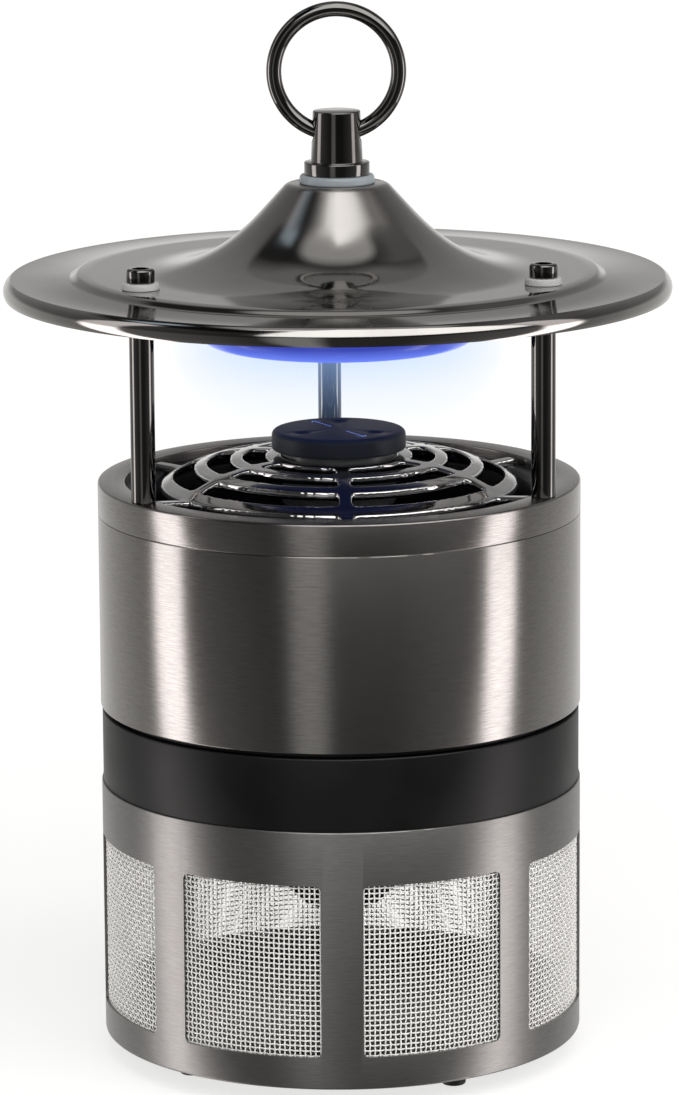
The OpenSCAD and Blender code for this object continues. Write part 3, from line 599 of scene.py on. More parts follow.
def lit_plastic(name, dark, light, glow_dark, glow_light, glow_z, strength, rough):
    """Translucent plastic lit from inside, brightest at its lower face."""
    material, tree, shader = base_material(name, 0.0)
    effect = place_group(tree, GRAIN, Grain=900.0)
    shade = spread(tree, effect.outputs["Unevenness"], *NOISE_RANGE)
    tree.links.new(blend_colour(tree, shade, dark, light), shader.inputs["Base Color"])
    _, (_, _, z) = coordinates(tree)
    below = spread(tree, z, *glow_z, 1.0, 0.0)
    tree.links.new(blend_colour(tree, below, glow_dark, glow_light), shader.inputs["Emission Color"])
    mirrored = add(tree, "ShaderNodeLightPath").outputs["Is Glossy Ray"]
    tree.links.new(spread(tree, mirrored, 0.0, 1.0, strength, 0.02 * strength),
                   shader.inputs["Emission Strength"])
    shader.inputs["Roughness"].default_value = rough
    tree.links.new(bump(tree, effect.outputs["Height"], 0.4, 0.02 * MM), shader.inputs["Normal"])
    return material


HOOD_METAL = spun("gunmetal_polish", (0.27, 0.262, 0.254), (0.36, 0.35, 0.338), 0.24, 0.08,
                  (26 * MM, 36 * MM))
BLACK_NICKEL = polished("black_nickel", (0.10, 0.098, 0.096), (0.16, 0.157, 0.153), 0.07, 60.0)
BODY_METAL = brushed("brushed_body", (0.27, 0.26, 0.251), (0.38, 0.367, 0.355), 0.24, 2600.0, 0.0025 * MM)
SHELL_METAL = brushed("brushed_shell", (0.25, 0.246, 0.24), (0.35, 0.345, 0.338), 0.4, 2600.0, 0.002 * MM,
                      anisotropy=0.55)
RING_METAL = brushed("brushed_ring", (0.26, 0.25, 0.242), (0.37, 0.357, 0.345), 0.25, 2200.0, 0.0025 * MM)
WIRE_METAL = polished("bright_wire", (0.93, 0.92, 0.90), (1.0, 0.995, 0.98), 0.5, 120.0, metallic=0.4)
GRILLE_PLATE = polished("grille_plate", (0.46, 0.46, 0.465), (0.66, 0.66, 0.665), 0.07, 90.0)
ZINC = polished("zinc_plate", (0.45, 0.45, 0.44), (0.62, 0.62, 0.60), 0.25, 200.0)
MOTOR_STEEL = brushed("motor_steel", (0.5, 0.5, 0.48), (0.68, 0.68, 0.66), 0.3, 1500.0)
BRASS = polished("turned_brass", (0.55, 0.40, 0.18), (0.78, 0.60, 0.32), 0.2, 150.0)
COPPER = brushed("wound_copper", (0.40, 0.18, 0.08), (0.72, 0.38, 0.18), 0.3, 1200.0, 0.05 * MM)
FERRITE = moulded("ferrite", (0.05, 0.05, 0.052), (0.09, 0.09, 0.092), 0.6)
BLACK_MATTE = moulded("black_matte", (0.003, 0.003, 0.0031), (0.006, 0.006, 0.0061), 0.36, 3000.0,
                      0.012 * MM, 0.3)
BLACK_SATIN = moulded("black_satin", (0.016, 0.016, 0.017), (0.028, 0.028, 0.029), 0.33)
WASHER_NYLON = moulded("washer_nylon", (0.27, 0.31, 0.335), (0.34, 0.385, 0.41), 0.3, 1800.0, 0.008 * MM)
NYLON = moulded("white_nylon", (0.45, 0.45, 0.455), (0.54, 0.54, 0.54), 0.4, 1800.0, 0.008 * MM)
CAP_PLASTIC = moulded("cap_plastic", (0.015, 0.019, 0.027), (0.024, 0.030, 0.041), 0.45, 3200.0,
                      0.02 * MM, 0.35)
# Pale colour for the cap's arrow grooves: a painted highlight, standing for the light that the grooves
# catch.
PAINTED_GROOVE_HIGHLIGHT = moulded("painted_groove_highlight", (0.62, 0.66, 0.70), (0.75, 0.79, 0.83), 0.5)
HOLDER_PLASTIC = moulded("holder_plastic", (0.09, 0.095, 0.10), (0.15, 0.155, 0.16), 0.3)
LAMP_HOUSING = moulded("lamp_housing", (0.03, 0.031, 0.034), (0.05, 0.052, 0.056), 0.35)
BOARD_WHITE = moulded("board_white", (0.66, 0.66, 0.62), (0.80, 0.80, 0.77), 0.3, 900.0)
BOARD_GREEN = moulded("board_green", (0.012, 0.09, 0.04), (0.02, 0.14, 0.07), 0.25, 900.0)
CHIP_BLACK = moulded("chip_black", (0.012, 0.012, 0.013), (0.03, 0.03, 0.031), 0.5)
CABLE_SHEATH = moulded("cable_sheath", (0.012, 0.012, 0.012), (0.022, 0.022, 0.022), 0.5)
FOOT_RUBBER = moulded("foot_rubber", (0.010, 0.010, 0.010), (0.020, 0.020, 0.020), 0.6)
SEAL_RUBBER = moulded("seal_rubber", (0.014, 0.014, 0.014), (0.026, 0.026, 0.026), 0.55)
TABLET = moulded("pressed_tablet", (0.56, 0.51, 0.41), (0.72, 0.67, 0.56), 0.75, 700.0, 0.08 * MM)
PAN_STEEL = brushed("pan_steel", (0.10, 0.098, 0.095), (0.17, 0.165, 0.16), 0.35, 1800.0)
LENS_Z = low("lamp_lens")[2]
LENS_FROST = lit_plastic("lens_frost", (0.010, 0.012, 0.03), (0.016, 0.019, 0.05), (0.035, 0.055, 0.43),
                         (0.16, 0.25, 1.0), (LENS_Z + 0.5 * MM, LENS_Z + 5 * MM), 1.0, 0.25)
LED_VIOLET = lit_plastic("led_violet", (0.30, 0.28, 0.9), (0.45, 0.40, 1.0), (0.2, 0.18, 1.0),
                         (0.35, 0.3, 1.0), (LENS_Z + 10 * MM, LENS_Z + 14 * MM), 3.0, 0.2)


# ---- Hanger ----

def hanging_ring():
    """A wire ring with a fine butt joint, which sits inside the knob's eye."""
    wire = high("hanging_ring")[1]
    loop = high("hanging_ring")[0] - wire
    centre_z = middle_of("hanging_ring").z
    joint = math.radians(0.5)
    clear()
    bpy.ops.mesh.primitive_circle_add(vertices=36, radius=wire, fill_type="NGON", location=(0, 0, -loop),
                                      rotation=level())
    ring = bpy.context.object
    ring.name = "hanging_ring_piece"
    settle(ring)
    bpy.ops.object.mode_set(mode="EDIT")
    bpy.ops.mesh.select_all(action="SELECT")
    bpy.ops.mesh.spin(steps=160, angle=TURN - joint, center=(0, 0, 0), axis=(0, 1, 0))
    bpy.ops.object.mode_set(mode="OBJECT")
    tidy_normals(ring)
    shifted(ring, z=centre_z)
    smooth(ring, 50)
    finish_piece(ring, "hanging_ring", BLACK_NICKEL)


def ring_knob():
    """The tapered knob with its flange, and the eye that the ring runs through."""
    z0, z1 = low("ring_knob")[2], high("ring_knob")[2]
    flange_r = 10.75 * MM
    flange_z = z0 + 4.2 * MM
    eye_z = z1 - 6.75 * MM
    outline = rounded([
        (0, z0, 0), (flange_r, z0, 0.3 * MM), (flange_r, flange_z, 0.35 * MM),
        (8.5 * MM, flange_z, 0.25 * MM), (7.8 * MM, z1, 0.45 * MM), (0, z1, 0)])
    knob = lathe("ring_knob_piece", outline, 128, 30, closed=False)
    eye = prism("eye", 64, 3.7 * MM, 40 * MM, (0, 0, eye_z), level())
    stud_hole = prism("stud_hole", 48, 3.1 * MM, 18 * MM, (0, 0, z0))
    carve(knob, eye, stud_hole)
    bevel(knob, 0.25 * MM, 2, 45)
    smooth(knob, 30)
    finish_piece(knob, "ring_knob", BLACK_NICKEL)


def knob_washer():
    """The nylon washer under the knob."""
    z0, z1 = low("knob_washer")[2], high("knob_washer")[2]
    r = 12.45 * MM
    outline = rounded([
        (STUD_HOLE_R, z0, 0), (r, z0, 0.5 * MM), (r - 0.3 * MM, z1, 0.9 * MM), (STUD_HOLE_R, z1, 0)])
    finish_piece(lathe("knob_washer_piece", outline, 96), "knob_washer", WASHER_NYLON)


# ---- Hood ----

CONE_R = 25.2 * MM
CONE_FALL = 1.1
FLARE_END_R = POST_RING - 6.3 * MM
FLARE_POW = 2.48
FLARE_H = CONE_FALL * (FLARE_END_R - CONE_R) / FLARE_POW
CROWN_H = CROWN_Z - BRIM_Z
CROWN_R = CONE_R - (CROWN_H - FLARE_H) / CONE_FALL
STEP_R = POST_RING + 10.2 * MM
STEP_W = 3.3 * MM
STEP_H = 1.75 * MM
LIP_R = 4.3 * MM
LIP_START = 63
LIP_END = -30


def hood_rise(r):
    """Height of the hood's upper face over the brim, and how steeply it falls."""
    if r >= FLARE_END_R:
        return 0.0, 0.0
    if r >= CONE_R:
        u = (FLARE_END_R - r) / (FLARE_END_R - CONE_R)
        return FLARE_H * u ** FLARE_POW, CONE_FALL * u ** (FLARE_POW - 1)
    return FLARE_H + CONE_FALL * (CONE_R - r), CONE_FALL


def hood_upper():
    """The hood's outer outline from the stud hole to the start of the lip."""
    shoulder = 3.2 * MM
    tilt = math.degrees(math.atan(CONE_FALL))
    reach = shoulder * math.tan(math.radians(tilt / 2))
    outline = [(STUD_HOLE_R, CROWN_H)]
    outline += arc(CROWN_R - reach, CROWN_H - shoulder, shoulder, 90, 90 - tilt, 8)
    last = outline[-1][0]
    outline += [(r, hood_rise(r)[0]) for r in [last + (CONE_R - last) * k / 4 for k in (1, 2, 3)]]
    outline += [(r, hood_rise(r)[0]) for r in
                [CONE_R + (FLARE_END_R - CONE_R) * (k / 40) for k in range(41)]]
    outline += [(STEP_R - 4 * MM, 0.0)]
    for k in range(9):
        t = k / 8
        outline.append((STEP_R + STEP_W * t, -STEP_H * (3 * t * t - 2 * t ** 3)))
    return outline


def hood():
    """The spun hood: bell crown, flat brim with a step, and a rolled lip."""
    upper = hood_upper()
    lip_z = -STEP_H - LIP_R * math.sin(math.radians(LIP_START))
    lip = arc(BRIM_R - LIP_R, lip_z, LIP_R, LIP_START, LIP_END, 20)
    crease = [(lip[0][0] - 1.2 * MM, -STEP_H), (lip[0][0] - 0.15 * MM, -STEP_H)]
    inner_r = LIP_R - HOOD_T
    lip_in_start = math.degrees(math.asin((LIP_R * math.sin(math.radians(LIP_START)) - HOOD_T) / inner_r))
    lip_in = arc(BRIM_R - LIP_R, lip_z, inner_r, LIP_END, lip_in_start, 16)
    under = []
    for r, z in reversed(upper):
        _, fall = hood_rise(r)
        drop = HOOD_T * math.sqrt(1 + fall * fall)
        under.append((r, min(z - drop, CROWN_H - HOOD_T)))
    outline = [(r, z + BRIM_Z) for r, z in upper + crease + lip + lip_in + under]
    piece = lathe("hood_piece", outline, 256, 28)
    finish_piece(piece, "hood", HOOD_METAL)


def brim_fasteners():
    """Three cap screws on nylon washers."""
    washer_z = low("brim_washers")[2]
    head_z = high("brim_washers")[2]
    top_z = high("brim_screws")[2]
    tip_z = low("brim_screws")[2]
    hole_r, shank_r = 2.2 * MM, 2 * MM
    washer = lathe("brim_washer", rounded([
        (hole_r, washer_z, 0), (6.2 * MM, washer_z, 0.3 * MM), (5.75 * MM, head_z, 0.5 * MM),
        (hole_r, head_z, 0)]), 64)
    screw = lathe("brim_screw", rounded([
        (0, tip_z, 0), (shank_r, tip_z, 0.3 * MM), (shank_r, head_z, 0),
        (4.55 * MM, head_z, 0.25 * MM), (4.6 * MM, top_z, 0.8 * MM), (0, top_z, 0)]), 72, 30, closed=False)
    carve(screw, prism("hex_socket", 6, 2.6 * MM, 5 * MM, (0, 0, top_z)))
    carve(screw, prism("socket_rim", 48, 2.75 * MM, 0.5 * MM, (0, 0, top_z)))
    smooth(screw, 30)
    for k, angle in enumerate(POST_ANGLES):
        x, y, _ = polar(POST_RING, angle)
        one = turned(copy_of(washer, f"brim_washer_{k + 1}"), angle)
        finish_piece(shifted(one, x, y), "brim_washers", NYLON)
        one = turned(copy_of(screw, f"brim_screw_{k + 1}"), angle + 0.3 * k)
        finish_piece(shifted(one, x, y), "brim_screws", BLACK_NICKEL)
    bpy.data.objects.remove(washer)
    bpy.data.objects.remove(screw)


def posts():
    """Three round posts with a threaded foot and a chamfer at each end."""
    thread_z = low("post_left")[2]
    cable_z = SEAT_Z - 12.2 * MM
    bore_depth = 66 * MM
    outline = rounded([
        (0, thread_z, 0), (2.2 * MM, thread_z, 0), (2.5 * MM, thread_z + 0.5 * MM, 0), (2.5 * MM, DECK_Z, 0),
        (POST_R, DECK_Z, 0.25 * MM), (POST_R, SEAT_Z, 0.3 * MM), (2.1 * MM, SEAT_Z, 0),
        (2.1 * MM, SEAT_Z - 10 * MM, 0), (0, SEAT_Z - 11 * MM, 0)])
    post = lathe("post", outline, 72, 30, closed=False)
    for node, angle in zip(("post_back", "post_left", "post_right"), POST_ANGLES):
        one = copy_of(post, node + "_piece")
        x, y, _ = polar(POST_RING, angle)
        if node == "post_back":
            bore = prism("bore", 32, 1.6 * MM, bore_depth, (0, 0, cable_z - bore_depth / 2))
            window = prism("window", 32, 1.8 * MM, 8 * MM, (-4 * MM, 0, cable_z), level())
            carve(one, bore, window)
            smooth(one, 30)
        finish_piece(shifted(turned(one, angle), x, y), node, BLACK_NICKEL)
    bpy.data.objects.remove(post)


# ---- Lamp ----

def lamp_lens():
    """The frosted lens: a shallow bowl with a stepped rim."""
    z0, z1 = low("lamp_lens")[2], high("lamp_lens")[2]
    r, wall, bowl_h = 47 * MM, 2 * MM, 6.6 * MM
    rim_z = z0 + bowl_h
    outer = [(r, z1), (r, rim_z + 1 * MM)]
    inner = []
    for a in QUARTER:
        outer.append((r - 7 * MM * (1 - math.cos(a)), rim_z - bowl_h * math.sin(a)))
        inner.append((r - wall - 6.3 * MM * (1 - math.cos(a)), rim_z - (bowl_h - wall) * math.sin(a)))
    outline = outer + [(20 * MM, z0 + 0.001 * MM), (0, z0), (0, z0 + wall)]
    outline += inner[::-1] + [(r - wall, z1)]
    finish_piece(lathe("lamp_lens_piece", outline, 192), "lamp_lens", LENS_FROST)


def lamp_base():
    """The lamp's housing: a ribbed dish on a central tower."""
    z1 = high("lamp_base")[2]
    rim_z = low("lamp_base")[2]
    plate_z = rim_z + 6 * MM
    plate_top = plate_z + 2.5 * MM
    r = radius_of("lamp_base")
    rim_in, tower_r = 47.1 * MM, 9 * MM
    outline = rounded([
        (STUD_HOLE_R, plate_z, 0), (rim_in, plate_z, 0), (rim_in, rim_z, 0.4 * MM), (r, rim_z, 0.6 * MM),
        (r, plate_top, 1.2 * MM), (tower_r, plate_top, 1.0 * MM), (tower_r, z1, 0.4 * MM),
        (STUD_HOLE_R, z1, 0)])
    dish = lathe("lamp_base_piece", outline, 160)
    for k in range(6):
        angle = math.radians(60 * k + 32.3)
        rib = block("rib", (30 * MM, 1.6 * MM, 5 * MM), polar(22 * MM, angle, plate_top + 2.2 * MM),
                    (0, 0, angle))
        weld(dish, rib)
    hole = polar(43.6 * MM, POST_ANGLES[0], plate_z)
    carve(dish, prism("cable_hole", 24, 1.5 * MM, 12 * MM, hole))
    smooth(dish, 30)
    finish_piece(dish, "lamp_base", LAMP_HOUSING)


# ---- Body ----

def top_ring():
    """The turned ring that closes the sleeve, with the shoulder that centres it."""
    r = BODY_R
    inner = r - 9 * MM
    shoulder_in, shoulder_out = r - 3.6 * MM, r - 1.1 * MM
    shoulder_z = RING_Z - 2.5 * MM
    outline = rounded([
        (inner, RING_Z, 0), (shoulder_in, RING_Z, 0), (shoulder_in, shoulder_z, 0.3 * MM),
        (shoulder_out, shoulder_z, 0.3 * MM), (shoulder_out, RING_Z, 0), (r, RING_Z, 0.3 * MM),
        (r, DECK_Z, 0.7 * MM), (inner, DECK_Z, 0.5 * MM)])
    ring = lathe("top_ring_piece", outline, 288, 30)
    tab = (4.6 * MM, 10 * MM, 3.5 * MM)
    tab_z = LEDGE_Z - 2.5 * MM - tab[2] / 2
    for angle in POST_ANGLES:
        place = polar(inner - 0.8 * MM, angle + math.pi, tab_z)
        weld(ring, block("tab", tab, place, (0, 0, angle + math.pi)))
    for angle in POST_ANGLES:
        carve(ring, prism("tie_hole", 24, 1.6 * MM, 8 * MM, polar(inner - 1.5 * MM, angle + math.pi, tab_z)))
    x, y, _ = polar(POST_RING, POST_ANGLES[0])
    carve(ring, prism("cable_hole", 24, 2 * MM, 30 * MM, (x, y, RING_Z)))
    for angle in POST_ANGLES:
        carve(ring, prism("thread", 32, 2.6 * MM, 17 * MM, polar(POST_RING, angle, DECK_Z)))
    smooth(ring, 30)
    finish_piece(ring, "top_ring", RING_METAL)


def body_sleeve():
    """The brushed tube, with the hole for the inlet at the back."""
    inner = BODY_R - 1 * MM
    outline = rounded([
        (inner, SLEEVE_Z, 0), (BODY_R, SLEEVE_Z, 0.35 * MM), (BODY_R, RING_Z, 0.35 * MM),
        (inner, RING_Z, 0)], 3)
    sleeve = lathe("body_sleeve_piece", outline, 288, 30)
    angle = math.radians(60)
    hole = prism("inlet_hole", 48, 5.7 * MM, 20 * MM, polar(BODY_R, angle, SLEEVE_Z + 31 * MM),
                 level(angle))
    carve(sleeve, hole)
    smooth(sleeve, 30)
    finish_piece(sleeve, "body_sleeve", BODY_METAL)


def basket_shell():
    """The brushed shell with its eight round-cornered windows and turned-in foot."""
    r = BODY_R
    t = 1 * MM
    outline = rounded([
        (r - 10 * MM, SHELL_Z, 0.3 * MM), (r, SHELL_Z, 0.9 * MM), (r, SHELL_TOP_Z, 0.35 * MM),
        (r - t, SHELL_TOP_Z, 0), (r - t, SHELL_Z + t, 0), (r - 10 * MM, SHELL_Z + t, 0.3 * MM)], 3)
    shell = lathe("basket_shell_piece", outline, 288, 30)
    width, height = 48.4 * MM, 57.3 * MM
    middle_z = SHELL_Z + 10.9 * MM + height / 2
    for angle in WINDOW_ANGLES:
        along = Vector(polar(1, angle))
        cutter = block("window", (30 * MM, width, height), polar(r, angle, middle_z), (0, 0, angle))
        round_chosen(cutter, lambda a, b: abs((b - a).normalized().dot(along)) > 0.9, 2 * MM, 6)
        carve(shell, cutter)
    smooth(shell, 30)
    finish_piece(shell, "basket_shell", SHELL_METAL)


def basket_collar():
    """The black collar: outer band, skirt, shoulder, spigot with three keys, and the funnel's ledge."""
    r = BODY_R - 0.5 * MM
    spigot_r = BODY_R - 3.9 * MM
    spigot_in = spigot_r - 2.5 * MM
    wall_in = r - 2.5 * MM
    skirt_r = BODY_R - 1.1 * MM
    skirt_z = SHELL_TOP_Z - 8 * MM
    spigot_z = high("basket_collar")[2]
    ledge_z = COLLAR_TOP_Z - 13 * MM
    ledge_r = BODY_R - 9 * MM
    outline = rounded([
        (wall_in, skirt_z, 0.2 * MM), (skirt_r, skirt_z, 0.3 * MM), (skirt_r, SHELL_TOP_Z, 0),
        (r, SHELL_TOP_Z, 0.35 * MM), (r, COLLAR_TOP_Z, 0.5 * MM), (spigot_r, COLLAR_TOP_Z, 0.2 * MM),
        (spigot_r, spigot_z, 0.5 * MM), (spigot_in, spigot_z, 0.3 * MM),
        (spigot_in, COLLAR_TOP_Z - 2 * MM, 0.2 * MM), (wall_in, COLLAR_TOP_Z - 2 * MM, 0.3 * MM),
        (wall_in, ledge_z, 0.2 * MM), (ledge_r, ledge_z, 0.2 * MM),
        (ledge_r, ledge_z - 2 * MM, 0.2 * MM), (wall_in, ledge_z - 2 * MM, 0.2 * MM)], 3)
    collar = lathe("basket_collar_piece", outline, 288, 30)
    for k in range(3):
        angle = math.radians(120 * k + 30)
        key_z = (COLLAR_TOP_Z + spigot_z - 1 * MM) / 2
        key = block("key", (1.9 * MM, 6 * MM, spigot_z - 1 * MM - COLLAR_TOP_Z),
                    polar(spigot_r - 0.05 * MM, angle, key_z), (0, 0, angle))
        bevel(key, 0.3 * MM, 2)
        weld(collar, key)
    smooth(collar, 30)
    finish_piece(collar, "basket_collar", BLACK_MATTE)


# ---- Woven mesh ----

def wire(name, points, r):
    """A wire along a list of points, as a mesh."""
    clear()
    bpy.ops.curve.primitive_nurbs_path_add()
    obj = bpy.context.object
    obj.name = name
    curve = obj.data
    curve.splines.clear()
    spline = curve.splines.new("POLY")
    spline.points.add(len(points) - 1)
    for spot, (x, y, z) in zip(spline.points, points):
        spot.co = (x, y, z, 1)
    curve.bevel_depth = r
    curve.bevel_resolution = 1
    curve.use_fill_caps = True
    obj.location = (0, 0, 0)
    pick(obj)
    bpy.ops.object.convert(target="MESH")
    return bpy.context.object


def crimped(length, pitch, height, first):
    """Steps along a woven wire: it lies flat where it crosses and slopes between."""
    steps = []
    count = int(round(length / pitch))
    side = first
    flat = 0.22 * pitch
    for k in range(count):
        middle = (k + 0.5) * pitch
        steps.append((middle - flat, side * height))
        steps.append((middle + flat, side * height))
        side = -side
    return steps


def mesh_sleeve():
    """Plain-woven wire behind each window, one curved panel for each."""
    wire_r = 0.26 * MM
    pitch = 1.7 * MM
    lift = 0.27 * MM
    z0 = SHELL_Z + 8.5 * MM
    rows, columns = 37, 31
    r = radius_of("mesh_sleeve") - 0.3 * MM
    step = pitch / r
    span = columns * step
    uprights = []
    for c in range(columns):
        a = -span / 2 + (c + 0.5) * step
        steps = crimped(rows * pitch, pitch, lift, 1 if c % 2 else -1)
        path = [polar(r + h, a, z0 + s) for s, h in steps]
        uprights.append(wire("upright", path, wire_r))
    rounds = []
    for row in range(rows):
        z = z0 + (row + 0.5) * pitch
        steps = crimped(columns * pitch, pitch, lift, -1 if row % 2 else 1)
        path = [polar(r + h, -span / 2 + s / r, z) for s, h in steps]
        rounds.append(wire("round", path, wire_r))
    panel = gather("mesh_panel", uprights + rounds)
    smooth(panel, 60)
    for k, angle in enumerate(WINDOW_ANGLES):
        one = turned(copy_of(panel, f"mesh_panel_{k + 1}"), angle)
        finish_piece(one, "mesh_sleeve", WIRE_METAL)
    bpy.data.objects.remove(panel)


# ---- Grille and lure ----

def sector(name, r_in, r_out, angle, gap, z, depth, corner):
    """A cutter in the shape of one opening between two bands and two spokes."""
    clear()
    steps = 20
    bpy.ops.mesh.primitive_plane_add(size=MM)
    obj = bpy.context.object
    obj.name = name
    bpy.ops.object.mode_set(mode="EDIT")
    bpy.ops.mesh.select_all(action="SELECT")
    bpy.ops.mesh.merge(type="CENTER")
    half_in = math.pi / 6 - math.asin(gap / 2 / r_in)
    half_out = math.pi / 6 - math.asin(gap / 2 / r_out)
    here = Vector((0, 0, 0))
    outline = [polar(r_in, angle - half_in + 2 * half_in * k / steps, z) for k in range(steps + 1)]
    outline += [polar(r_out, angle + half_out - 2 * half_out * k / steps, z) for k in range(steps + 1)]
    for k, point in enumerate(outline):
        target = Vector(point)
        if k == 0:
            bpy.ops.transform.translate(value=target)
        else:
            bpy.ops.mesh.extrude_region_move(TRANSFORM_OT_translate={"value": target - here})
        here = target
    bpy.ops.mesh.select_all(action="SELECT")
    bpy.ops.mesh.edge_face_add()
    bpy.ops.mesh.extrude_region_move(TRANSFORM_OT_translate={"value": (0, 0, depth)})
    bpy.ops.object.mode_set(mode="OBJECT")
    tidy_normals(obj)
    ends = [Vector(outline[i][:2]) for i in (0, steps, steps + 1, 2 * steps + 1)]

    def corner_edge(a, b):
        upright = abs(a.z - b.z) > depth / 2
        return upright and any((a.xy - end).length < 10 * MERGE_GAP for end in ends)

    round_chosen(obj, corner_edge, corner, 4)
    return obj


def grille_height(r):
    """Height of the domed grille's top over the deck."""
    start = GRILLE_EDGE + 2.2 * MM
    if r <= start:
        return GRILLE_RISE * (1 - (r / GRILLE_EDGE) ** 4)
    top = GRILLE_RISE * (1 - (start / GRILLE_EDGE) ** 4)
    foot = LEDGE_Z + 2.4 * MM - DECK_Z
    t = min(1.0, (r - start) / (GRILLE_END - start))
    return top + (foot - top) * t


def intake_grille():
    """The domed grille: four bands and six spokes with soft inside corners, cast in one piece."""
    depth = 3 * MM
    bands = [21.75 * MM, DUCT_R - 28 * MM, DUCT_R - 16.2 * MM, GRILLE_EDGE]
    half = [2.75 * MM, 2.2 * MM, 2.2 * MM, 2.2 * MM]
    plate = prism("intake_grille_piece", 240, GRILLE_END, depth, (0, 0, -depth / 2))
    carve(plate, prism("hub_hole", 96, 19.05 * MM, 3 * depth, (0, 0, 0)))
    spoke_w, corner = 4.4 * MM, 1.4 * MM
    for i in range(4):
        r_in = bands[i] + half[i]
        r_out = bands[i + 1] - half[i + 1] if i < 3 else GRILLE_END + 6 * MM
        for k in range(6):
            angle = POST_ANGLES[2] + math.radians(60 * k + 30)
            carve(plate, sector("opening", r_in, r_out, angle, spoke_w, -2 * depth, 4 * depth, corner))
    pick(plate)
    remesh = plate.modifiers.new("skin", "REMESH")
    remesh.mode = "VOXEL"
    remesh.voxel_size = 0.55 * MM
    soften = plate.modifiers.new("soften", "SMOOTH")
    soften.factor = 0.5
    soften.iterations = 9
    apply_all(plate)
    for vertex in plate.data.vertices:
        r = math.hypot(vertex.co.x, vertex.co.y)
        vertex.co.z += DECK_Z + grille_height(r)
    smooth(plate, 180)
    finish_piece(plate, "intake_grille", GRILLE_PLATE)


def lure_holder():
    """The cup that holds the lure, with the slots of its bayonet."""
    z0, z1 = low("lure_holder")[2], high("lure_holder")[2]
    r, wall = 18.9 * MM, 1.6 * MM
    flange_z = DECK_Z + grille_height(19 * MM) - 3.1 * MM
    outline = rounded([
        (0, z0, 0), (r, z0, 0.8 * MM), (r, flange_z - 2.5 * MM, 0),
        (r + 2 * MM, flange_z - 2 * MM, 0.3 * MM), (r + 2 * MM, flange_z, 0.3 * MM),
        (r, flange_z, 0), (r, z1, 0.4 * MM), (r - wall, z1, 0.3 * MM),
        (r - wall, z0 + 2 * MM, 0.5 * MM), (0, z0 + 2 * MM, 0)])
    cup = lathe("lure_holder_piece", outline, 128, 30, closed=False)
    slot_z = z1 - 2.6 * MM
    for k in range(2):
        for part in range(4):
            angle = math.pi * k + math.radians(5 + 8 * part)
            carve(cup, block("slot", (6 * MM, 8 * MM, 2.4 * MM), polar(r, angle, slot_z), (0, 0, angle)))
    smooth(cup, 30)
    finish_piece(cup, "lure_holder", HOLDER_PLASTIC)


def lure_cap():
    """The puck: soft edge, three thumb dimples, two fine arrow grooves, and the bayonet plug below."""
    z1 = high("lure_cap")[2]
    cap_z = z1 - 6.4 * MM
    r = 22.2 * MM
    plug_r, plug_in = 16.9 * MM, 15.3 * MM
    plug_z = low("lure_cap")[2]
    outline = rounded([
        (0, cap_z, 0), (plug_in, cap_z, 0), (plug_in, plug_z, 0.2 * MM), (plug_r, plug_z, 0.3 * MM),
        (plug_r, cap_z, 0), (r, cap_z, 0.7 * MM), (r, z1, 1.8 * MM), (0, z1, 0)], 8)
    cap = lathe("lure_cap_piece", outline, 160, 30, closed=False)
    for k in range(2):
        lug = block("lug", (2.2 * MM, 6 * MM, 1.6 * MM),
                    polar(17.1 * MM, math.pi * k, cap_z - 3 * MM), (0, 0, math.pi * k))
        weld(cap, lug)
    for k in range(3):
        angle = math.radians(90 + 120 * k)
        clear()
        bpy.ops.mesh.primitive_uv_sphere_add(segments=48, ring_count=24, radius=6 * MM,
                                             location=polar(13.8 * MM, angle, z1 + 5.2 * MM))
        ball = bpy.context.object
        settle(ball)
        carve(cap, ball)
    arrows = [arrow(cap, math.radians(30 + 180 * k), z1) for k in range(2)]
    smooth(cap, 30)
    finish_piece(cap, "lure_cap", CAP_PLASTIC)
    # The pale strips in the arrow grooves are a painted highlight, not a colour of the cap itself.
    finish_piece(gather("lure_cap_arrows", arrows), "lure_cap", PAINTED_GROOVE_HIGHLIGHT)


def arrow(cap, angle, z):
    """A fine groove with a small open head in the cap's top; returns the pale strips laid into it, a painted
    highlight that stands for the light the groove catches.
    """
    groove = 0.45 * MM
    start = Vector((0, -17 * MM, z))
    lines = [(12 * MM, start + Vector((0, 6 * MM, 0)), 0),
             (3 * MM, start + Vector((0.9 * MM, 1.1 * MM, 0)), -38),
             (3 * MM, start + Vector((-0.9 * MM, 1.1 * MM, 0)), 38)]
    painted_highlight = []
    for length, place, lean in lines:
        turn = (0, 0, math.radians(lean))
        carve(cap, turned(block("groove", (groove, length, 0.5 * MM), place, turn), angle))
        # A thin pale strip just under the cap's top, inside the groove: painted highlight.
        below = place + Vector((0, 0, -0.13 * MM))
        size = (groove - 0.02 * MM, length - 0.02 * MM, 0.2 * MM)
        painted_highlight.append(turned(block("painted_highlight", size, below, turn), angle))
    return gather("painted_highlight", painted_highlight)


# ---- Fan ----

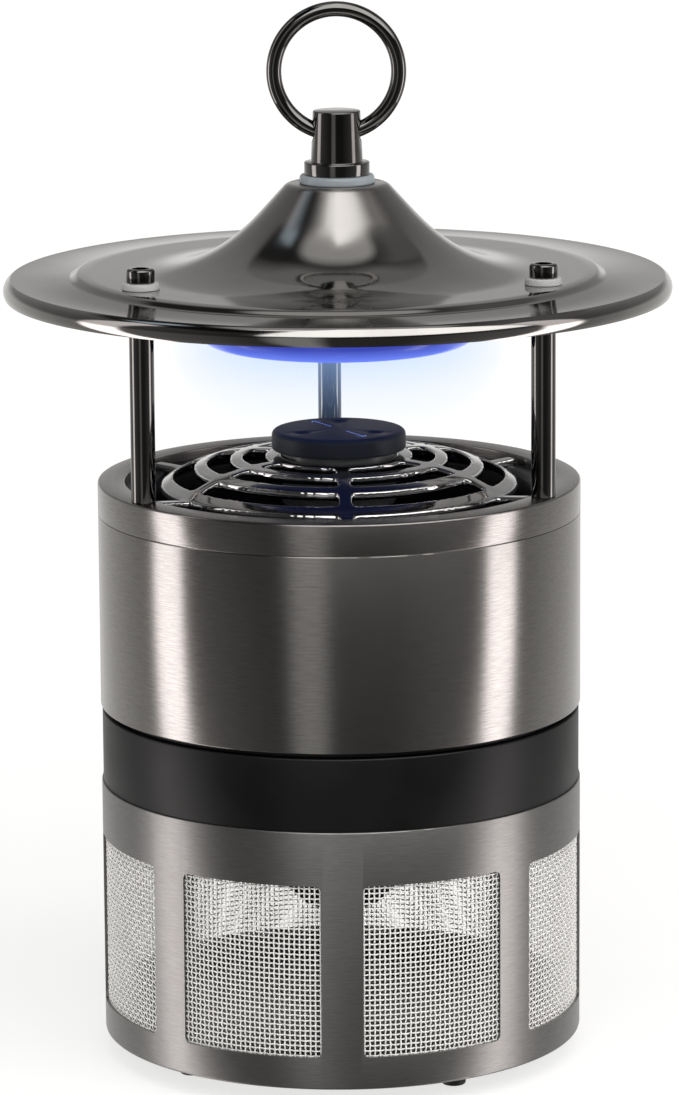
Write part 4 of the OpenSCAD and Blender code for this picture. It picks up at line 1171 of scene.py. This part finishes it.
def fan_duct():
    """The duct with its bell mouth and the ledge that carries the grille."""
    z0, z1 = low("fan_duct")[2], high("fan_duct")[2]
    t = 2 * MM
    bell_h = 15 * MM
    bell = []
    for a in QUARTER:
        bell.append((DUCT_R + 4.5 * MM * (1 - math.cos(a)), z1 - bell_h + bell_h * math.sin(a)))
    under = z1 - 2.5 * MM
    neck = [(r + t, z) for r, z in bell[:8]][::-1]
    outline = [(DUCT_R, z0)] + bell + [(LEDGE_R, z1), (LEDGE_R, under), (MOUTH_R, under)] + neck
    foot_r, foot_z = DUCT_R + t + 3 * MM, z0 + 3 * MM
    outline += [(DUCT_R + t, foot_z), (foot_r, foot_z), (foot_r, z0)]
    duct = lathe("fan_duct_piece", outline, 192, 30)
    angle = math.radians(80)
    carve(duct, prism("cable_hole", 24, 1.5 * MM, 12 * MM, polar(DUCT_R + 1 * MM, angle, z0 + 4.6 * MM),
                      level(angle)))
    smooth(duct, 30)
    finish_piece(duct, "fan_duct", BLACK_MATTE)


def fan_impeller():
    """The hub with seven curved, twisted blades."""
    z0 = low("fan_impeller")[2]
    hub_z, hub_top = low("fan_nut")[2] - 16 * MM, low("fan_nut")[2]
    hub_r = 21 * MM
    hub = lathe("fan_impeller_piece", rounded([
        (1.5 * MM, hub_top, 0), (1.5 * MM, hub_z + 1 * MM, 0), (4 * MM, hub_z + 1 * MM, 0.3 * MM),
        (4 * MM, hub_top - 3 * MM, 0.5 * MM), (hub_r - 2 * MM, hub_top - 3 * MM, 2 * MM),
        (hub_r - 2 * MM, hub_z, 0.3 * MM), (hub_r, hub_z, 0.4 * MM), (hub_r, hub_top, 4 * MM)]), 128, 30)
    blade = fan_blade(hub_r - 1 * MM, 60.4 * MM, z0 + 7.9 * MM)
    blades = [turned(copy_of(blade, "blade"), TURN * k / BLADES) for k in range(BLADES)]
    bpy.data.objects.remove(blade)
    fan = gather("fan_impeller_piece", [hub] + blades)
    finish_piece(fan, "fan_impeller", BLACK_SATIN)


def fan_blade(r_in, r_out, mid_z):
    """One blade: a grid bent into a cambered, twisted sheet and given its thickness."""
    clear()
    bpy.ops.mesh.primitive_grid_add(x_subdivisions=20, y_subdivisions=16, size=1)
    blade = bpy.context.object
    blade.name = "blade"
    for vertex in blade.data.vertices:
        along, across = vertex.co.x + 0.5, vertex.co.y
        r = r_in + (r_out - r_in) * along
        chord = (21 + 9 * math.sin(math.pi * min(along * 0.75 + 0.1, 1.0))) * MM
        pitch = math.radians(38 - 12 * along)
        camber = 1.6 * MM * (1 - 4 * across * across)
        sideways = across * chord * math.cos(pitch)
        height = across * chord * math.sin(pitch) + camber
        sweep = 0.10 * along
        angle = sideways / r + sweep
        vertex.co = polar(r, angle, mid_z + height)
    wall = blade.modifiers.new("wall", "SOLIDIFY")
    wall.thickness = 1.4 * MM
    wall.offset = 0
    apply_all(blade)
    bevel(blade, 0.5 * MM, 3, 50)
    tidy_normals(blade)
    smooth(blade, 50)
    return blade


# ---- Basket inside ----

def escape_funnel():
    """The funnel, with its flange and a rolled outlet."""
    z0, z1 = low("escape_funnel")[2], high("escape_funnel")[2]
    out_r, t = 11 * MM, 1.5 * MM
    ledge_z = z1 - t
    flange_r = BODY_R - 7 * MM
    outline = rounded([
        (out_r, z0, 0.2 * MM), (out_r + t, z0, 0.4 * MM), (LEDGE_R, ledge_z - 1 * MM, 0),
        (LEDGE_R, ledge_z, 0), (flange_r, ledge_z, 0.2 * MM), (flange_r, z1, 0.4 * MM),
        (LEDGE_R + 0.5 * MM, z1, 1 * MM), (out_r, z0 + 0.6 * MM, 0)])
    finish_piece(lathe("escape_funnel_piece", outline, 160, 30), "escape_funnel", BLACK_SATIN)


def floor_pan():
    """The floor of the basket: a disc with a pressed ring and a raised edge."""
    z0, z1 = low("floor_pan")[2], high("floor_pan")[2]
    r = radius_of("floor_pan")
    pan = lathe("floor_pan_piece", rounded([
        (0, z0, 0), (r, z0, 0.3 * MM), (r, z1, 0.4 * MM), (50 * MM, z1, 0), (49.6 * MM, z1 - 0.3 * MM, 0),
        (46.4 * MM, z1 - 0.3 * MM, 0), (46 * MM, z1, 0), (0, z1, 0)]), 192, 20, closed=False)
    finish_piece(pan, "floor_pan", PAN_STEEL)


def feet():
    """Four moulded rubber feet with a soft ground edge."""
    top_z = high("foot_front_left")[2]
    outline = rounded([
        (0, 0, 0), (4 * MM, 0, 0.8 * MM), (4 * MM, 4.5 * MM, 0.6 * MM), (5.5 * MM, 6.5 * MM, 0.4 * MM),
        (5.5 * MM, top_z, 0.2 * MM), (1.6 * MM, top_z, 0), (1.6 * MM, 1.8 * MM, 0), (0, 1.8 * MM, 0)])
    foot = lathe("foot", outline, 64, 35, closed=False)
    for node in ("foot_front_right", "foot_back_right", "foot_back_left", "foot_front_left"):
        spot = middle_of(node)
        finish_piece(shifted(copy_of(foot, node + "_piece"), spot.x, spot.y), node, FOOT_RUBBER)
    bpy.data.objects.remove(foot)


# ---- Pieces whose CAD shape is already right ----

REFINED = {
    "centre_stud": ZINC, "stud_nut": ZINC, "led_board": BOARD_WHITE, "uv_leds": LED_VIOLET,
    "led_screws": ZINC, "tie_rods": ZINC, "lure_tablet": TABLET, "motor_bracket": BLACK_SATIN,
    "bracket_screws": ZINC, "motor_can": MOTOR_STEEL, "motor_magnets": FERRITE, "motor_bearings": BRASS,
    "motor_screws": ZINC, "motor_shaft": MOTOR_STEEL, "motor_rotor": COPPER, "fan_nut": BRASS,
    "control_board": BOARD_GREEN, "board_parts": CHIP_BLACK, "board_screws": ZINC,
    "dc_socket": BLACK_SATIN, "socket_pin": ZINC, "socket_nut": BLACK_SATIN, "housing_base": BLACK_MATTE,
    "seal_ring": SEAL_RUBBER, "funnel_screws": ZINC, "foot_screws": ZINC}
CABLES = ["lamp_cable", "motor_cable", "power_cable"]


def refined_pieces():
    """Rounded copies of the plain fittings, and smooth cables."""
    for node, material in REFINED.items():
        refine(node, material)
    for node in CABLES:
        refine(node, CABLE_SHEATH, width=0)


# ---- Studio ----

def floor():
    """A wide pale floor."""
    clear()
    bpy.ops.mesh.primitive_plane_add(size=24, location=(0, 0, GROUND_Z))
    plane = bpy.context.object
    plane.name = "studio_floor"
    material, tree, shader = base_material("pale_floor", 0.0)
    coords, _ = coordinates(tree)
    mottle = spread(tree, noise(tree, coords, 3.0, 2.0), *NOISE_RANGE)
    tree.links.new(blend_colour(tree, mottle, (0.34, 0.34, 0.338), (0.36, 0.36, 0.358)),
                   shader.inputs["Base Color"])
    tree.links.new(blend_colour(tree, mottle, (0.99, 0.99, 0.98), (1.0, 1.0, 0.99)),
                   shader.inputs["Emission Color"])
    shader.inputs["Emission Strength"].default_value = 0.74
    shader.inputs["Roughness"].default_value = 0.9
    shader.inputs["Specular IOR Level"].default_value = 0.0
    plane.data.materials.append(material)
    plane.visible_glossy = False
    settle(plane)


def between(tree, value, start, end, soft):
    """One between two limits and nothing outside them, with soft edges."""
    rise_up = spread(tree, value, start - soft, start + soft)
    fall_off = spread(tree, value, end - soft, end + soft, 1.0, 0.0)
    return maths(tree, "MULTIPLY", rise_up, fall_off)


def softbox(tree, around, height, box, soft, strength):
    """A lit rectangle in the studio: its limits round the object and in height, in degrees."""
    left, right, bottom, top = box
    across = between(tree, around, left, right, soft)
    mask = maths(tree, "MULTIPLY", across, between(tree, height, bottom, top, soft))
    return maths(tree, "MULTIPLY", mask, strength)


def brightest(tree, strengths):
    """The highest of several strengths."""
    result = strengths[0]
    for strength in strengths[1:]:
        result = maths(tree, "MAXIMUM", result, strength)
    return result


def world():
    """The studio: a pale wall behind, a dark front, a strip at each side and a wide panel overhead."""
    studio = bpy.data.worlds.new("studio")
    bpy.context.scene.world = studio
    studio.use_nodes = True
    tree = studio.node_tree
    tree.nodes.clear()
    coords = add(tree, "ShaderNodeTexCoord").outputs["Generated"]
    parts = add(tree, "ShaderNodeSeparateXYZ")
    tree.links.new(coords, parts.inputs[0])
    x, y, z = parts.outputs
    degrees = 180 / math.pi
    turn = maths(tree, "ARCTAN2", x, maths(tree, "MULTIPLY", y, -1.0))
    around = maths(tree, "MULTIPLY", turn, degrees)
    height = maths(tree, "MULTIPLY", maths(tree, "ARCSINE", z), degrees)
    away = maths(tree, "ABSOLUTE", around)
    front = spread(tree, away, 25.0, 95.0, 0.05, 0.26)
    wall = spread(tree, away, 95.0, 165.0, 0.0, 0.56)
    sides = maths(tree, "ADD", front, wall)
    low_front = maths(tree, "MULTIPLY", sides, spread(tree, height, 3.0, 12.0, 1.0, 0.4))
    horizon = maths(tree, "MULTIPLY", low_front, spread(tree, height, 41.0, 46.0, 1.0, 0.12))
    near_panel = spread(tree, y, -0.16, -0.12, 2.2, 0.6)
    near_top = maths(tree, "MULTIPLY", near_panel, spread(tree, y, 0.2, 0.34, 1.0, 0.25))
    overhead = maths(tree, "MULTIPLY", near_top, spread(tree, height, 66.0, 72.0))
    rear = spread(tree, away, 140.0, 160.0)
    rear_box = maths(tree, "MULTIPLY", rear, between(tree, height, 16.0, 66.0, 6.0))
    low_card = softbox(tree, around, height, (-24.0, -6.0, -70.0, 15.0), 4.0, 0.42)
    side_card = softbox(tree, around, height, (72.0, 150.0, 28.0, 66.0), 8.0, 0.16)
    key_panel = softbox(tree, around, height, (-28.0, 72.0, 22.0, 100.0), 2.0, 2.6)
    rear_card = maths(tree, "MULTIPLY", rear_box, 0.26)
    left_strip = softbox(tree, around, height, (-98.0, -80.0, -60.0, 48.0), 1.5, 3.3)
    right_strip = softbox(tree, around, height, (74.0, 91.0, -60.0, 48.0), 1.5, 3.3)
    strips = maths(tree, "MULTIPLY", brightest(tree, [left_strip, right_strip]),
                   spread(tree, height, 0.0, 8.0, 1.0, 0.35))
    window = softbox(tree, around, height, (-119.0, -94.0, 50.0, 62.0), 2.0, 0.75)
    seen = add(tree, "ShaderNodeLightPath").outputs["Is Camera Ray"]
    backdrop = maths(tree, "MULTIPLY", seen, 1.1)
    panels = brightest(tree, [horizon, overhead, low_card, side_card, key_panel, rear_card, backdrop])
    white, rosy, cool = (1.0, 0.985, 0.97), (1.0, 0.94, 0.93), (0.72, 0.88, 1.0)
    total = None
    for colour, strength in ((white, panels), (rosy, strips), (cool, window)):
        lamp = add(tree, "ShaderNodeBackground")
        lamp.inputs["Color"].default_value = (*colour, 1)
        tree.links.new(strength, lamp.inputs["Strength"])
        if total:
            both = add(tree, "ShaderNodeAddShader")
            tree.links.new(total, both.inputs[0])
            tree.links.new(lamp.outputs[0], both.inputs[1])
            total = both.outputs[0]
        else:
            total = lamp.outputs[0]
    out = add(tree, "ShaderNodeOutputWorld")
    tree.links.new(total, out.inputs[0])


def lights():
    """The lamp's own light, under its lens."""
    clear()
    bpy.ops.object.light_add(type="AREA", location=(0, 0, LENS_Z - 1.5 * MM))
    glow = bpy.context.object
    glow.name = "lamp_glow"
    glow.data.shape = "DISK"
    glow.data.size = 78 * MM
    glow.data.energy = 0.014
    glow.data.color = (0.16, 0.30, 1.0)
    glow.visible_camera = False
    glow.visible_glossy = False


def painted_glow():
    """A painted glow on a see-through bowl under the lamp: the bowl is no lamp, but its emission stands for
    the pale blue light that hangs in the air there, and its tinted see-through colour dims what lies behind
    it.
    """
    radius, depth = 56 * MM, 40 * MM
    steps = 24
    quarter = [math.pi / 2 * k / steps for k in range(steps + 1)]
    outline = [(radius * math.sin(a), LENS_Z - depth * math.cos(a)) for a in quarter]
    outline.append((radius, high("lamp_lens")[2]))
    bowl = lathe("painted_lamp_glow", outline, 96, 180, closed=False)
    material = bpy.data.materials.new("painted_lamp_glow")
    material.use_nodes = True
    tree = material.node_tree
    tree.nodes.clear()
    facing = add(tree, "ShaderNodeLayerWeight").outputs["Facing"]
    _, (_, _, z) = coordinates(tree)
    near_rim = spread(tree, z, LENS_Z - depth, LENS_Z - 0.25 * depth)
    thick = maths(tree, "POWER", maths(tree, "SUBTRACT", 1.0, facing, clamp=True), 1.6)
    far_side = add(tree, "ShaderNodeNewGeometry").outputs["Backfacing"]
    # Painted glow: emission and a darker, bluer see-through tint, strongest towards the bowl's edges and
    # rim.
    amount = maths(tree, "MULTIPLY", maths(tree, "MULTIPLY", thick, near_rim), far_side)
    through = add(tree, "ShaderNodeBsdfTransparent")
    tint = blend_colour(tree, amount, (1.0, 1.0, 1.0), (0.36, 0.43, 0.52))
    tree.links.new(tint, through.inputs["Color"])
    light = add(tree, "ShaderNodeEmission")
    glow = blend_colour(tree, amount, (0.0, 0.0, 0.0), (0.20, 0.31, 0.54))
    tree.links.new(glow, light.inputs["Color"])
    both = add(tree, "ShaderNodeAddShader")
    tree.links.new(through.outputs[0], both.inputs[0])
    tree.links.new(light.outputs[0], both.inputs[1])
    out = add(tree, "ShaderNodeOutputMaterial")
    tree.links.new(both.outputs[0], out.inputs[0])
    bowl.data.materials.append(material)
    bowl.visible_diffuse = False
    bowl.visible_glossy = False
    bowl.visible_shadow = False


def camera():
    """A long lens that looks slightly down at the object."""
    place = (0, -1.7807, 0.5373)
    downwards = math.radians(90 - 11.648)
    lean = math.radians(-0.393)
    data = bpy.data.cameras.new("view")
    data.lens = 179.84
    data.sensor_width = 36
    view = bpy.data.objects.new("view", data)
    bpy.context.scene.collection.objects.link(view)
    view.location = place
    pitch = Matrix.Rotation(downwards, 3, "X")
    roll = Matrix.Rotation(lean, 3, "Z")
    view.rotation_euler = (pitch @ roll).to_euler()
    bpy.context.scene.camera = view


bpy.context.scene.view_settings.view_transform = "Standard"
camera()
world()
lights()
floor()
painted_glow()
hanging_ring()
ring_knob()
knob_washer()
hood()
brim_fasteners()
posts()
lamp_lens()
lamp_base()
top_ring()
body_sleeve()
basket_shell()
basket_collar()
mesh_sleeve()
intake_grille()
lure_holder()
lure_cap()
fan_duct()
fan_impeller()
escape_funnel()
floor_pan()
feet()
refined_pieces()
